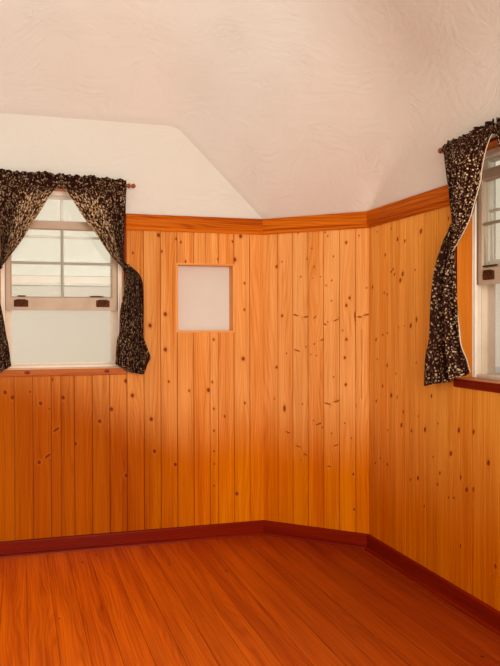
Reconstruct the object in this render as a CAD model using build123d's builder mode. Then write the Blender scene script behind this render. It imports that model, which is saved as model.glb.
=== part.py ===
from build123d import *
import os
from math import cos, radians, sin, tan

# Panelled corner of a timber cabin room: a left wall and a right wall, each with a sash window,
# joined by a short corner wall. They stand on a boarded floor. Boards line the walls up to a
# moulded rail, and plaster rises above it into sloping ceilings that carry the roof.
# Inside is towards -Y of the left wall and -X of the right wall. Sizes are in millimetres,
# and heights are above the floor boards.

# Walls, measured along their boarded inside face
left_wall_length = 2510
corner_wall_length = 715
right_wall_length = 2620
wall_turn = 45

# Layers of a wall, from the inside face outwards
lining_thickness = 12
framing_thickness = 150
cladding_thickness = 18

# Floor: boards on a frame of joists
floor_board_thickness = 22
floor_frame_depth = 140
cladding_foot_gap = 30

# Heights of the walls and of the cut through the ceilings
rail_top = 2032
gable_height = 558
ceiling_rise = 610

# Ceiling slopes and the roof over them
main_pitch = 45.0
corner_pitch = 54.5
ceiling_thickness = 12
roof_thickness = 120
crease_round = 60

# Moulded rail on top of the boards, and the skirting at their foot
rail_height = 98
rail_depth = 22
rail_lip = 14
rail_lip_step = 3
rail_bead = 20
rail_bead_step = 7
skirting_height = 87
skirting_depth = 18
skirting_round = 6
lining_lap = 15

# Recess in the left wall
niche_width = 356
niche_height = 413
niche_depth = 85
niche_from_corner = 203
niche_sill = 1316
niche_board = 12
niche_back_thickness = 10

# Window openings, to the faces of their wooden jambs
window_width = 716
window_height = 1070
window_sill = 1096
left_window_from_corner = 1255
right_window_from_corner = 1310
reveal_depth = 90
jamb_board = 15
sill_board = 46
sill_nose = 10
sill_round = 8

# White window frame and its two sashes
frame_sill_rise = 15
frame_head_drop = 22
frame_lip = 14
frame_bevel = 5
flange_width = 36
flange_thickness = 8
track_depth = 8
stop_depth = 8
parting_bead = 5
sash_thickness = 29
sash_play = 1
stile_width = 56
inner_top_rail = 53
inner_bottom_rail = 83
outer_top_rail = 24
outer_bottom_rail = 50
sash_overlap = 27
left_sash_open = 0.68
right_sash_open = 0.88
glass_thickness = 14
glazing_bar_width = 16
glazing_bar_depth = 6
glazing_bevel = 7
screen_thickness = 8
screen_stile = 46
screen_rail = 12
screen_sheet = 2

# Catches on the bottom rail of the inner sash
catch_width = 83
catch_height = 42
catch_depth = 9
catch_round = 5
catch_inset = 12
lever_width = 52
lever_height = 7
lever_reach = 16

# Curtain rod, with a bead and a ball turned on each end
rod_above_window = 29
rod_radius = 10
rod_from_wall = 57
rod_past_curtain = 9
rod_bead_radius = 15
rod_bead_width = 14
rod_neck_radius = 6
rod_neck = 6
rod_ball_radius = 14
bracket_radius = 6
bracket_behind_curtain = 15
rose_radius = 19
rose_thickness = 6

# Curtains: gathered on the rod, tied back at the jamb, then hanging free
curtain_thickness = 56
curtain_play = 0.3
curtain_header = 46
curtain_pocket = 36
curtain_gap = 2
curtain_side_cover = 12

# Worked out from the sizes above
window_half = window_width / 2
curtain_half_width = window_half + curtain_side_cover
rod_half_length = curtain_half_width + rod_past_curtain
bracket_from_centre = curtain_half_width - bracket_behind_curtain
floor_top = floor_frame_depth + floor_board_thickness
wall_plate = rail_top + gable_height
ceiling_cut = wall_plate + ceiling_rise
window_head = window_sill + window_height
wall_thickness = lining_thickness + framing_thickness + cladding_thickness
outer_face = wall_thickness + flange_thickness
turn = radians(wall_turn)
corner_run = corner_wall_length * sin(turn)
corner_step = Vector(corner_wall_length * cos(turn), -corner_run)
slope_run = gable_height / tan(radians(corner_pitch)) / sin(turn)

# Rectangle of ground that the part covers. The origin is in its middle, under the floor frame
ground_width = left_wall_length + corner_step.X + outer_face
ground_depth = right_wall_length + corner_run + outer_face
inner_corner = Vector(
    left_wall_length - ground_width / 2,
    ground_depth / 2 - outer_face,
    floor_top,
)


class Wall:
    """A straight stretch of wall: where its inside face starts, its direction and its length."""

    def __init__(self, start, angle, length):
        self.start = start
        self.length = length
        self.along = Vector(cos(angle), -sin(angle))
        self.outward = Vector(sin(angle), cos(angle))

    def elevation(self, depth=0.0):
        """Drawing plane seen from inside: x along the wall, y up, depth measured into the wall."""
        origin = self.start + self.outward * depth
        return Plane(origin=origin, x_dir=self.along, z_dir=self.outward * -1)

    def section(self, distance):
        """Drawing plane across the wall: x into the room, y up."""
        return Plane(origin=self.point(distance), x_dir=self.outward * -1, z_dir=self.along * -1)

    def slope(self, pitch, height):
        """Underside of a ceiling that starts on this wall's inside face at a height."""
        tilt = radians(pitch)
        normal = self.outward * sin(tilt) + Vector(0, 0, cos(tilt))
        origin = self.start + Vector(0, 0, height)
        return Plane(origin=origin, x_dir=self.along, z_dir=normal)

    def point(self, distance, height=0.0, depth=0.0):
        """A point by its place along the wall, its height and its depth into the wall."""
        return self.start + self.along * distance + Vector(0, 0, height) + self.outward * depth

    def cross_cut(self, distance):
        """Upright plane square to the wall, facing along it."""
        return Plane(origin=self.point(distance), z_dir=self.along)

    def face_plane(self, depth):
        """Upright plane along the wall at a depth, facing out."""
        return Plane(origin=self.start + self.outward * depth, z_dir=self.outward)


left = Wall(inner_corner - Vector(left_wall_length, 0), 0, left_wall_length)
corner = Wall(inner_corner, turn, corner_wall_length)
right = Wall(inner_corner + corner_step, 2 * turn, right_wall_length)

# Upright mitre planes where two walls meet, facing from left to right
left_mitre = Plane(origin=corner.start, z_dir=left.along + corner.along)
right_mitre = Plane(origin=right.start, z_dir=corner.along + right.along)

# Undersides of the ceilings
left_slope = left.slope(main_pitch, wall_plate)
right_slope = right.slope(main_pitch, wall_plate)
corner_slope = corner.slope(corner_pitch, rail_top)

# The next corner walls aren't built, but their ceilings shape the free ends of the wall tops
before_left = Wall(left.start, -turn, corner_wall_length)
after_right = Wall(right.point(right_wall_length), 3 * turn, corner_wall_length)
far_left_slope = before_left.slope(corner_pitch, rail_top)
far_right_slope = after_right.slope(corner_pitch, rail_top)


def rectangle(wall, u, z, depth):
    """Sketch of a rectangle on a wall, by its ranges along the wall and up, at a depth."""
    with BuildSketch(wall.elevation(depth)) as outline:
        with Locations(((u[0] + u[1]) / 2, (z[0] + z[1]) / 2)):
            Rectangle(u[1] - u[0], z[1] - z[0])
    return outline.sketch


def block(wall, u, z, depth, mode=Mode.ADD, taper=0.0):
    """Rectangular piece on a wall, by its ranges along the wall, up and into the wall."""
    extrude(rectangle(wall, u, z, depth[0]), amount=depth[0] - depth[1], taper=taper, mode=mode)


def hole(wall, u, z, depth, taper=0.0):
    block(wall, u, z, depth, mode=Mode.SUBTRACT, taper=taper)


def grown(span, by):
    return (span[0] - by, span[1] + by)


def about(middle, half):
    return (middle - half, middle + half)


def trim(plane, side=Keep.BOTTOM):
    """Cut the piece being built at a plane. BOTTOM keeps what lies behind the plane."""
    split(bisect_by=plane, keep=side)


def save(piece, name):
    piece.part.label = name
    export_step(piece.part, f"parts/{name}.step")


os.makedirs("parts", exist_ok=True)

# Floor, cut to the outside of the wall framing
framing_depth = lining_thickness + framing_thickness


def floor_layer(bottom, thickness):
    with BuildSketch(Plane.XY.offset(bottom)) as outline:
        Rectangle(ground_width, ground_depth)
    extrude(outline.sketch, amount=thickness)
    for wall in (left, corner, right):
        trim(wall.face_plane(framing_depth))


with BuildPart() as floor_frame:
    floor_layer(0, floor_frame_depth)
save(floor_frame, "floor_frame")

with BuildPart() as floor_boards:
    floor_layer(floor_frame_depth, floor_board_thickness)
save(floor_boards, "floor_boards")

# Where the windows and the recess stand along their walls
left_window_at = left_wall_length - left_window_from_corner
right_window_at = right_window_from_corner
niche_end = left_wall_length - niche_from_corner
niche_u = (niche_end - niche_width, niche_end)
niche_z = (niche_sill, niche_sill + niche_height)
niche_cut = niche_depth + niche_back_thickness

# Opening in the walls behind the jambs and the sill board
opening_half = window_half + jamb_board
opening_z = (window_sill - sill_board, window_head + jamb_board)

lining_layer = (0, lining_thickness)
framing_layer = (lining_thickness, framing_depth)
cladding_layer = (framing_depth, wall_thickness)
lining_top = rail_top - lining_lap
full_height = (0, wall_plate)
cladding_height = (cladding_foot_gap - floor_top, wall_plate)


def wall_layer(wall, heights, depth, clearance, window_at=None, with_niche=False):
    """One layer of a wall, mitred at the corners and cut to the ceilings that lie on it."""
    block(wall, grown((0, wall.length), wall_thickness), heights, depth)
    if wall is left:
        ends = ((left.cross_cut(0), Keep.TOP), (left_mitre, Keep.BOTTOM))
        slopes = (far_left_slope, left_slope, corner_slope)
    elif wall is corner:
        ends = ((left_mitre, Keep.TOP), (right_mitre, Keep.BOTTOM))
        slopes = (corner_slope,)
    else:
        ends = ((right_mitre, Keep.TOP), (right.cross_cut(right_wall_length), Keep.BOTTOM))
        slopes = (corner_slope, right_slope, far_right_slope)
    for plane, side in ends:
        trim(plane, side)
    for slope in slopes:
        trim(slope.offset(clearance))
    if window_at is not None:
        hole(wall, about(window_at, opening_half), opening_z, (0, wall_thickness))
    if with_niche:
        hole(left, grown(niche_u, niche_board), grown(niche_z, niche_board), (0, niche_cut))


def under_slopes(rise, depth):
    """All the space below the three ceilings, moved up square to themselves by a rise."""
    with BuildSketch(Plane.XY.offset(floor_top)) as outline:
        Rectangle(ground_width, ground_depth)
    extrude(outline.sketch, amount=ceiling_cut)
    for slope in (left_slope, corner_slope, right_slope):
        trim(slope.offset(rise))
    for wall in (left, corner, right):
        trim(wall.face_plane(depth))
    trim(Plane.XY.offset(floor_top + ceiling_cut))
    trim(left.cross_cut(slope_run), Keep.TOP)
    trim(right.cross_cut(right_wall_length - slope_run))


# Plaster ceiling: a skin over the room, bent at the creases between the slopes
with BuildPart() as room_space:
    under_slopes(0, lining_thickness)

with BuildPart() as ceiling:
    under_slopes(ceiling_thickness, lining_thickness)
    add(room_space.part, mode=Mode.SUBTRACT)
    for slope in (left_slope, right_slope):
        crease_line = Axis(corner.start, slope.z_dir.cross(corner_slope.z_dir))
        fillet(ceiling.edges().filter_by(crease_line).sort_by(Axis.Z)[0], crease_round)
save(ceiling, "ceiling")

# Roof: lies on the ceiling skin and on the wall tops
with BuildPart() as space_under_roof:
    under_slopes(ceiling_thickness, wall_thickness)

with BuildPart() as roof:
    under_slopes(ceiling_thickness + roof_thickness, wall_thickness)
    add(space_under_roof.part, mode=Mode.SUBTRACT)
save(roof, "roof")


# Left wall
with BuildPart() as left_wall_frame:
    wall_layer(left, full_height, framing_layer, ceiling_thickness, left_window_at, True)
save(left_wall_frame, "left_wall_frame")

with BuildPart() as left_wall_boards:
    wall_layer(left, (0, lining_top), lining_layer, 0, left_window_at, True)
save(left_wall_boards, "left_wall_boards")

with BuildPart() as left_wall_plaster:
    wall_layer(left, (lining_top, wall_plate), lining_layer, 0, left_window_at)
    add(ceiling.part, mode=Mode.SUBTRACT)
save(left_wall_plaster, "left_wall_plaster")

with BuildPart() as left_wall_cladding:
    wall_layer(left, cladding_height, cladding_layer, ceiling_thickness, left_window_at)
save(left_wall_cladding, "left_wall_cladding")

# Corner wall
with BuildPart() as corner_wall_frame:
    wall_layer(corner, full_height, framing_layer, ceiling_thickness)
save(corner_wall_frame, "corner_wall_frame")

with BuildPart() as corner_wall_boards:
    wall_layer(corner, (0, rail_top), lining_layer, 0)
save(corner_wall_boards, "corner_wall_boards")

with BuildPart() as corner_wall_cladding:
    wall_layer(corner, cladding_height, cladding_layer, ceiling_thickness)
save(corner_wall_cladding, "corner_wall_cladding")

# Right wall
with BuildPart() as right_wall_frame:
    wall_layer(right, full_height, framing_layer, ceiling_thickness, right_window_at)
save(right_wall_frame, "right_wall_frame")

with BuildPart() as right_wall_boards:
    wall_layer(right, (0, lining_top), lining_layer, 0, right_window_at)
save(right_wall_boards, "right_wall_boards")

with BuildPart() as right_wall_plaster:
    wall_layer(right, (lining_top, wall_plate), lining_layer, 0, right_window_at)
    add(ceiling.part, mode=Mode.SUBTRACT)
save(right_wall_plaster, "right_wall_plaster")

with BuildPart() as right_wall_cladding:
    wall_layer(right, cladding_height, cladding_layer, ceiling_thickness, right_window_at)
save(right_wall_cladding, "right_wall_cladding")


def rail(wall, u):
    """Length of rail: lip along the top, flat face, and a step down to a bead at the foot."""
    foot = rail_top - rail_height
    face = rail_depth - rail_lip_step
    step = face - rail_bead_step
    bead_foot = step - rail_bead_step / 2
    with BuildSketch(wall.section(u[0])) as section:
        with BuildLine():
            Polyline(
                (step, foot + rail_bead),
                (face, foot + rail_bead + rail_bead_step),
                (face, rail_top - rail_lip - rail_lip_step),
                (rail_depth, rail_top - rail_lip),
                (rail_depth, rail_top),
                (0, rail_top),
                (0, foot),
                (bead_foot, foot),
            )
            RadiusArc((bead_foot, foot), (step, foot + rail_bead), -rail_bead)
        make_face()
    extrude(section.sketch, amount=u[0] - u[1])


def skirting(wall):
    """Skirting along a whole wall: a square board with its front top edge rounded over."""
    shoulder = (skirting_depth - skirting_round, skirting_height)
    front = (skirting_depth, skirting_height - skirting_round)
    with BuildSketch(wall.section(0)) as section:
        with BuildLine():
            Polyline(front, (skirting_depth, 0), (0, 0), (0, skirting_height), shoulder)
            RadiusArc(shoulder, front, skirting_round)
        make_face()
    extrude(section.sketch, amount=-wall.length)


# Rail: broken at the windows, mitred in the corners
with BuildPart() as left_rail:
    rail(left, (0, left_window_at - opening_half))
    rail(left, (left_window_at + opening_half, left_wall_length))
    trim(left_mitre)
save(left_rail, "left_rail")

with BuildPart() as corner_rail:
    rail(corner, (0, corner_wall_length))
    trim(left_mitre, Keep.TOP)
    trim(right_mitre)
save(corner_rail, "corner_rail")

with BuildPart() as right_rail:
    rail(right, (0, right_window_at - opening_half))
    rail(right, (right_window_at + opening_half, right_wall_length))
    trim(right_mitre, Keep.TOP)
save(right_rail, "right_rail")

# Skirting, mitred in the corners
with BuildPart() as left_skirting:
    skirting(left)
    trim(left_mitre)
save(left_skirting, "left_skirting")

with BuildPart() as corner_skirting:
    skirting(corner)
    trim(left_mitre, Keep.TOP)
    trim(right_mitre)
save(corner_skirting, "corner_skirting")

with BuildPart() as right_skirting:
    skirting(right)
    trim(right_mitre, Keep.TOP)
save(right_skirting, "right_skirting")

# Recess: a box of four boards with a plastered back
with BuildPart() as niche_boards:
    block(left, grown(niche_u, niche_board), grown(niche_z, niche_board), (0, niche_depth))
    hole(left, niche_u, niche_z, (0, niche_depth))
save(niche_boards, "niche_boards")

with BuildPart() as niche_back:
    block(left, grown(niche_u, niche_board), grown(niche_z, niche_board), (niche_depth, niche_cut))
save(niche_back, "niche_back")

# Depths of the window's parts, from the wall's inside face outwards
track_width = sash_thickness + 2 * sash_play
inner_track = (reveal_depth + stop_depth, reveal_depth + stop_depth + track_width)
outer_track = (inner_track[1] + parting_bead, inner_track[1] + parting_bead + track_width)
inner_sash_layer = grown(inner_track, -sash_play)
outer_sash_layer = grown(outer_track, -sash_play)
screen_layer = (outer_track[1], outer_track[1] + screen_thickness)

# Heights and widths of the window's parts
light_half = window_half - frame_lip
light_z = (window_sill + frame_sill_rise, window_head - frame_head_drop)
light_height = light_z[1] - light_z[0]
sash_half = light_half + track_depth
pane_half = sash_half - stile_width
sash_height = light_height / 2 + sash_overlap
sash_travel = light_height - sash_height
outer_sash_top = light_z[1] + track_depth
outer_sash_z = (outer_sash_top - sash_height, outer_sash_top)
glass_inset = (sash_thickness - glass_thickness) / 2


def sash(wall, centre, z, layer, top_rail, bottom_rail):
    """Sash with bevelled glazing edges, and two glazing bars in front of its glass."""
    pane_u = about(centre, pane_half)
    pane_z = (z[0] + bottom_rail, z[1] - top_rail)
    middle = (pane_z[0] + pane_z[1]) / 2
    glass_face = layer[0] + glass_inset
    bar_half = glazing_bar_width / 2
    block(wall, about(centre, sash_half), z, layer)
    hole(wall, pane_u, pane_z, layer)
    bevelled = (layer[0], layer[0] + glazing_bevel)
    hole(wall, grown(pane_u, glazing_bevel), grown(pane_z, glazing_bevel), bevelled, taper=45)
    bar_layer = (glass_face, glass_face - glazing_bar_depth)
    block(wall, about(centre, bar_half), grown(pane_z, glazing_bar_depth), bar_layer, taper=30)
    block(wall, grown(pane_u, glazing_bar_depth), about(middle, bar_half), bar_layer, taper=30)


def pane(wall, centre, z, layer, top_rail, bottom_rail):
    """Sealed glass unit that fills a sash."""
    glass_face = layer[0] + glass_inset
    pane_z = (z[0] + bottom_rail, z[1] - top_rail)
    block(wall, about(centre, pane_half), pane_z, (glass_face, glass_face + glass_thickness))


def sill_nosing(wall, centre):
    """Front of the sill, with rounded edges, which stands just in front of the wall."""
    top = window_sill
    foot = window_sill - sill_board
    with BuildSketch(wall.section(centre - opening_half)) as section:
        with BuildLine():
            Polyline((sill_nose - sill_round, foot), (0, foot), (0, top), (sill_nose - sill_round, top))
            RadiusArc((sill_nose - sill_round, top), (sill_nose, top - sill_round), sill_round)
            Line((sill_nose, top - sill_round), (sill_nose, foot + sill_round))
            RadiusArc((sill_nose, foot + sill_round), (sill_nose - sill_round, foot), sill_round)
        make_face()
    extrude(section.sketch, amount=-2 * opening_half)


def window(side, wall, centre, sash_open):
    """All the pieces of one window in a wall: joinery, sashes, glass, screen and catches.

    The inner sash is pushed up by a share of its travel.
    """
    opening_u = about(centre, opening_half)
    light_u = about(centre, light_half)

    with BuildPart() as jambs:
        block(wall, opening_u, (window_sill, opening_z[1]), (0, reveal_depth))
        hole(wall, about(centre, window_half), (window_sill, window_head), (0, reveal_depth))
    save(jambs, f"{side}_window_jambs")

    with BuildPart() as sill:
        block(wall, opening_u, (opening_z[0], window_sill), (0, reveal_depth))
        sill_nosing(wall, centre)
    save(sill, f"{side}_window_sill")

    with BuildPart() as frame:
        block(wall, opening_u, opening_z, (reveal_depth, wall_thickness))
        flange_u = grown(opening_u, flange_width)
        flange_z = grown(opening_z, flange_width)
        block(wall, flange_u, flange_z, (wall_thickness, outer_face))
        hole(wall, light_u, light_z, (0, outer_face))
        bevel = (reveal_depth, reveal_depth + frame_bevel)
        hole(wall, grown(light_u, frame_bevel), grown(light_z, frame_bevel), bevel, taper=45)
        hole(wall, grown(light_u, track_depth), light_z, inner_track)
        hole(wall, grown(light_u, track_depth), (light_z[0], outer_sash_top), outer_track)
    save(frame, f"{side}_window_frame")

    inner_foot = light_z[0] + sash_open * sash_travel
    inner_z = (inner_foot, inner_foot + sash_height)
    inner = (wall, centre, inner_z, inner_sash_layer, inner_top_rail, inner_bottom_rail)
    outer = (wall, centre, outer_sash_z, outer_sash_layer, outer_top_rail, outer_bottom_rail)
    with BuildPart() as inner_sash:
        sash(*inner)
    save(inner_sash, f"{side}_inner_sash")

    with BuildPart() as outer_sash:
        sash(*outer)
    save(outer_sash, f"{side}_outer_sash")

    with BuildPart() as glass:
        pane(*inner)
        pane(*outer)
    save(glass, f"{side}_window_glass")

    # Insect screen behind the outer sash, over the whole light
    sheet_at = (screen_layer[0] + screen_layer[1] - screen_sheet) / 2
    mesh_u = grown(light_u, -screen_stile)
    mesh_z = grown(light_z, -screen_rail)
    with BuildPart() as screen:
        block(wall, light_u, light_z, screen_layer)
        hole(wall, mesh_u, mesh_z, (screen_layer[0], sheet_at))
        hole(wall, mesh_u, mesh_z, (sheet_at + screen_sheet, screen_layer[1]))
    save(screen, f"{side}_window_screen")

    catch_z = about(inner_foot + inner_bottom_rail / 2, catch_height / 2)
    with BuildPart() as catches:
        for hand in (-1, 1):
            middle = centre + hand * (pane_half - catch_inset - catch_width / 2)
            with BuildSketch(wall.elevation(inner_sash_layer[0])) as plate:
                with Locations((middle, sum(catch_z) / 2)):
                    RectangleRounded(catch_width, catch_height, catch_round)
            extrude(plate.sketch, amount=catch_depth, taper=15)
            lever_layer = (inner_sash_layer[0] - lever_reach, inner_sash_layer[0])
            lever_z = (catch_z[1] - lever_height / 2, catch_z[1] + lever_height / 2)
            block(wall, about(middle, lever_width / 2), lever_z, lever_layer)
    save(catches, f"{side}_sash_catches")


rod_height = window_head + rod_above_window


def curtain_rod(side, wall, centre):
    """Turned rod with a bead and a ball at each end, on two brackets with round wall plates."""
    bead_end = rod_half_length + rod_bead_width
    neck_end = bead_end + rod_neck
    rod_line = Plane(
        origin=wall.point(centre, rod_height, -rod_from_wall),
        x_dir=wall.along,
        z_dir=Vector(0, 0, 1).cross(wall.along) * -1,
    )
    with BuildPart() as rod:
        with BuildSketch(rod_line) as profile:
            with BuildLine():
                Polyline((neck_end, 0), (0, 0), (0, rod_radius), (rod_half_length, rod_radius))
                ThreePointArc(
                    (rod_half_length, rod_radius),
                    (rod_half_length + rod_bead_width / 2, rod_bead_radius),
                    (bead_end, rod_radius),
                )
                Polyline(
                    (bead_end, rod_radius),
                    (bead_end, rod_neck_radius),
                    (neck_end, rod_neck_radius),
                    (neck_end, 0),
                )
            make_face()
        revolve(profile.sketch, axis=Axis(rod_line.origin, wall.along))
        with Locations(wall.point(centre + neck_end + ball_centre, rod_height, -rod_from_wall)):
            Sphere(rod_ball_radius)
        mirror(about=Plane(origin=rod_line.origin, z_dir=wall.along))
        for hand in (-1, 1):
            foot = (centre + hand * bracket_from_centre, rod_height)
            with BuildSketch(wall.elevation(0)) as rose:
                with Locations(foot):
                    Circle(rose_radius)
            extrude(rose.sketch, amount=rose_thickness, taper=20)
            with BuildSketch(wall.elevation(0)) as arm:
                with Locations(foot):
                    Circle(bracket_radius)
            extrude(arm.sketch, amount=rod_from_wall)
    save(rod, f"{side}_curtain_rod")


# How far the ball of a rod end has its centre beyond the neck that is sunk into it
ball_centre = (rod_ball_radius**2 - rod_neck_radius**2) ** 0.5


class Drape:
    """Outline of a window's tied-back curtains.

    The curtains meet at a distance to the right of the window's middle. Points are distances
    from the middle, in half window widths, and heights above the sill, in window heights. Edges
    run from the header down to the hem.
    """

    def __init__(self, meeting, inner_edge, hem, outer_edge):
        self.meeting = meeting
        self.inner_edge = inner_edge
        self.hem = hem
        self.outer_edge = outer_edge


left_drape = Drape(
    meeting=0,
    inner_edge=((0.33, 0.824), (0.737, 0.645), (0.983, 0.57), (0.955, 0.387), (0.832, 0.021)),
    hem=((1.045, -0.03), (1.302, -0.04), (1.304, 0.009)),
    outer_edge=((1.034, 0.598), (1.151, 0.557), (1.296, 0.469), (1.299, 0.198), (1.45, 0.053)),
)
right_drape = Drape(
    meeting=36,
    inner_edge=((0.182, 0.835), (0.461, 0.683), (0.858, 0.562), (0.774, 0.392), (0.419, 0.037)),
    hem=((1.092, -0.003), (1.115, -0.04), (1.584, -0.051)),
    outer_edge=((0.955, 0.882), (0.846, 0.701), (1.075, 0.618), (1.355, 0.45), (1.483, 0.177),
                (1.595, 0.085)),
)


def curtain(side, wall, centre, hand, drape):
    """One curtain, plain but with its real outline. hand is 1 for the right one, -1 for the left."""
    front = -rod_from_wall - curtain_thickness / 2
    meeting = curtain_gap + hand * drape.meeting

    def at(distance, height):
        return (centre + hand * distance, height)

    def on_window(points):
        return [at(x * window_half, window_sill + y * window_height) for x, y in points]

    inner_pocket = at(meeting, rod_height - curtain_pocket)
    outer_header = at(curtain_half_width, rod_height + curtain_header)
    inner_edge = [inner_pocket, *on_window(drape.inner_edge)]
    outer_edge = [at(curtain_half_width, rod_height), *on_window(drape.outer_edge)]
    with BuildPart() as panel:
        with BuildSketch(wall.elevation(front)) as outline:
            with BuildLine():
                Polyline(inner_pocket, at(meeting, rod_height + curtain_header), outer_header,
                         outer_edge[0])
                Spline(*outer_edge)
                Polyline(inner_edge[-1], *on_window(drape.hem), outer_edge[-1])
                Spline(*inner_edge)
            make_face()
        extrude(outline.sketch, amount=-curtain_thickness)
        with BuildSketch(wall.cross_cut(centre)) as rod_hole:
            with Locations(rod_hole.workplanes[0].to_local_coords(
                wall.point(centre, rod_height, -rod_from_wall)
            )):
                Circle(rod_radius + curtain_play)
        extrude(rod_hole.sketch, amount=rod_half_length, both=True, mode=Mode.SUBTRACT)
        with BuildSketch(wall.elevation(0)) as bracket_hole:
            with Locations((centre + hand * bracket_from_centre, rod_height)):
                Circle(bracket_radius + curtain_play)
        extrude(bracket_hole.sketch, amount=rod_from_wall, mode=Mode.SUBTRACT)
    hand_name = "right" if hand > 0 else "left"
    save(panel, f"{side}_window_curtain_{hand_name}")


for side, wall, centre, sash_open, drape in (
    ("left", left, left_window_at, left_sash_open, left_drape),
    ("right", right, right_window_at, right_sash_open, right_drape),
):
    window(side, wall, centre, sash_open)
    curtain_rod(side, wall, centre)
    for hand in (-1, 1):
        curtain(side, wall, centre, hand, drape)
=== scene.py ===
import math
import random

import bmesh
import bpy
from mathutils import Matrix, Vector, noise


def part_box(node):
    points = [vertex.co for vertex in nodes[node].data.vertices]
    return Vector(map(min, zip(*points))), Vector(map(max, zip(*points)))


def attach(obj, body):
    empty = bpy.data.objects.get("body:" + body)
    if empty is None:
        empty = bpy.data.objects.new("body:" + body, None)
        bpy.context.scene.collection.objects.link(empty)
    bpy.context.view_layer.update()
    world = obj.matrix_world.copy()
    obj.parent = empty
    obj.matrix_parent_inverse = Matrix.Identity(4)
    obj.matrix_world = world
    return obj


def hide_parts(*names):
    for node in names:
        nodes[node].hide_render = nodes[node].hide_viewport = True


# Looks of a panelled corner of a timber cabin room: pine boards with knots, plaster, stained
# floor, white sash windows and printed curtains. Sizes are in metres.

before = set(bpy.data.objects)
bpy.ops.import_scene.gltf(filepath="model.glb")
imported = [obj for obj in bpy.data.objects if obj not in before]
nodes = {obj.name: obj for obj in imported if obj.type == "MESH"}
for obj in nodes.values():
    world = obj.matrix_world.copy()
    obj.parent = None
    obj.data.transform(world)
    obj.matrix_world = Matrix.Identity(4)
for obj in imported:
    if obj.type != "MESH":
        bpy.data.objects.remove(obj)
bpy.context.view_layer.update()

UP = Vector((0, 0, 1))

# Heights over the floor where the wall boards and the gables end
RAIL_TOP = 2.032
GABLE_TOP = 2.590


# Places that the frame gives

class Wall:
    """A stretch of wall, by the line of its inside face on the floor, from left to right."""

    def __init__(self, start, end):
        self.start = start
        self.length = (end - start).length
        self.along = (end - start).normalized()
        self.outward = Vector((-self.along.y, self.along.x, 0))

    def point(self, distance, height=0.0, into_room=0.0):
        return self.start + self.along * distance + UP * height - self.outward * into_room

    def distance(self, point):
        return (point - self.start).dot(self.along)


left_low, left_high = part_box("left_skirting")
right_low, right_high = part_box("right_skirting")
floor_level = left_low.z
inner_corner = Vector((left_high.x, left_high.y, floor_level))
right_start = Vector((right_high.x, right_high.y, floor_level))
left = Wall(Vector((left_low.x, left_high.y, floor_level)), inner_corner)
corner = Wall(inner_corner, right_start)
right = Wall(right_start, Vector((right_high.x, right_low.y, floor_level)))


class Side:
    """A flat side that boards cover: across them, along them and into the wall behind them."""

    def __init__(self, origin, across, along, inward):
        self.origin, self.across, self.along, self.inward = origin, across, along, inward

    def plane(self, direction, distance):
        return self.origin + direction * distance

    def place(self, point):
        offset = point - self.origin
        return offset.dot(self.across), offset.dot(self.along), offset.dot(self.inward)


# Room sides of the walls. The left wall is measured from the inner corner
left_side = Side(inner_corner, -left.along, UP, left.outward)
corner_side = Side(inner_corner, corner.along, UP, corner.outward)
right_side = Side(right_start, right.along, UP, right.outward)


def smooth(x, low=0.0, high=1.0):
    x = min(max((x - low) / (high - low), 0.0), 1.0)
    return x * x * (3 - 2 * x)


def between(a, b, share):
    return a + (b - a) * share


# Shader maths

WHOLE_TURN = 6.2832


def arithmetic(operation, swapped=False):
    """A method that adds one maths node. Swapped puts the other operand first."""

    def applied(self, *others):
        operands = (*others, self) if swapped else (self, *others)
        return self.worked(operation, *operands)

    return applied


class Value:
    """A number or a vector that varies over a surface, with Python's arithmetic."""

    def __init__(self, finish, socket):
        self.finish = finish
        self.socket = socket

    def is_vector(self):
        return self.socket.type in ("VECTOR", "RGBA")

    def worked(self, operation, *operands):
        vector = any(isinstance(o, Value) and o.is_vector() for o in operands)
        kind = "ShaderNodeVectorMath" if vector else "ShaderNodeMath"
        if vector:
            operands = [(o, o, o) if isinstance(o, (int, float)) else o for o in operands]
        return self.finish.node(kind, {"operation": operation}, dict(enumerate(operands)))

    __add__ = arithmetic("ADD")
    __radd__ = arithmetic("ADD", swapped=True)
    __sub__ = arithmetic("SUBTRACT")
    __rsub__ = arithmetic("SUBTRACT", swapped=True)
    __mul__ = arithmetic("MULTIPLY")
    __truediv__ = arithmetic("DIVIDE")
    __pow__ = arithmetic("POWER")
    __rpow__ = arithmetic("POWER", swapped=True)
    __gt__ = arithmetic("GREATER_THAN")
    __lt__ = arithmetic("LESS_THAN")
    at_least = arithmetic("MAXIMUM")
    at_most = arithmetic("MINIMUM")
    sine = arithmetic("SINE")
    root = arithmetic("SQRT")
    fraction = arithmetic("FRACT")
    size = arithmetic("ABSOLUTE")

    def dot(self, direction):
        settings = {"operation": "DOT_PRODUCT"}
        inputs = {0: self, 1: tuple(direction)}
        return self.finish.node("ShaderNodeVectorMath", settings, inputs, "Value")

    def rise(self, low, high):
        """0 below low, 1 above high, smooth in between. High may lie below low."""
        settings = {"interpolation_type": "SMOOTHSTEP"}
        flipped = high < low
        span = (high, low) if flipped else (low, high)
        ends = (1.0, 0.0) if flipped else (0.0, 1.0)
        inputs = {"Value": self, "From Min": span[0], "From Max": span[1]}
        inputs.update({"To Min": ends[0], "To Max": ends[1]})
        return self.finish.node("ShaderNodeMapRange", settings, inputs)


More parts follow.
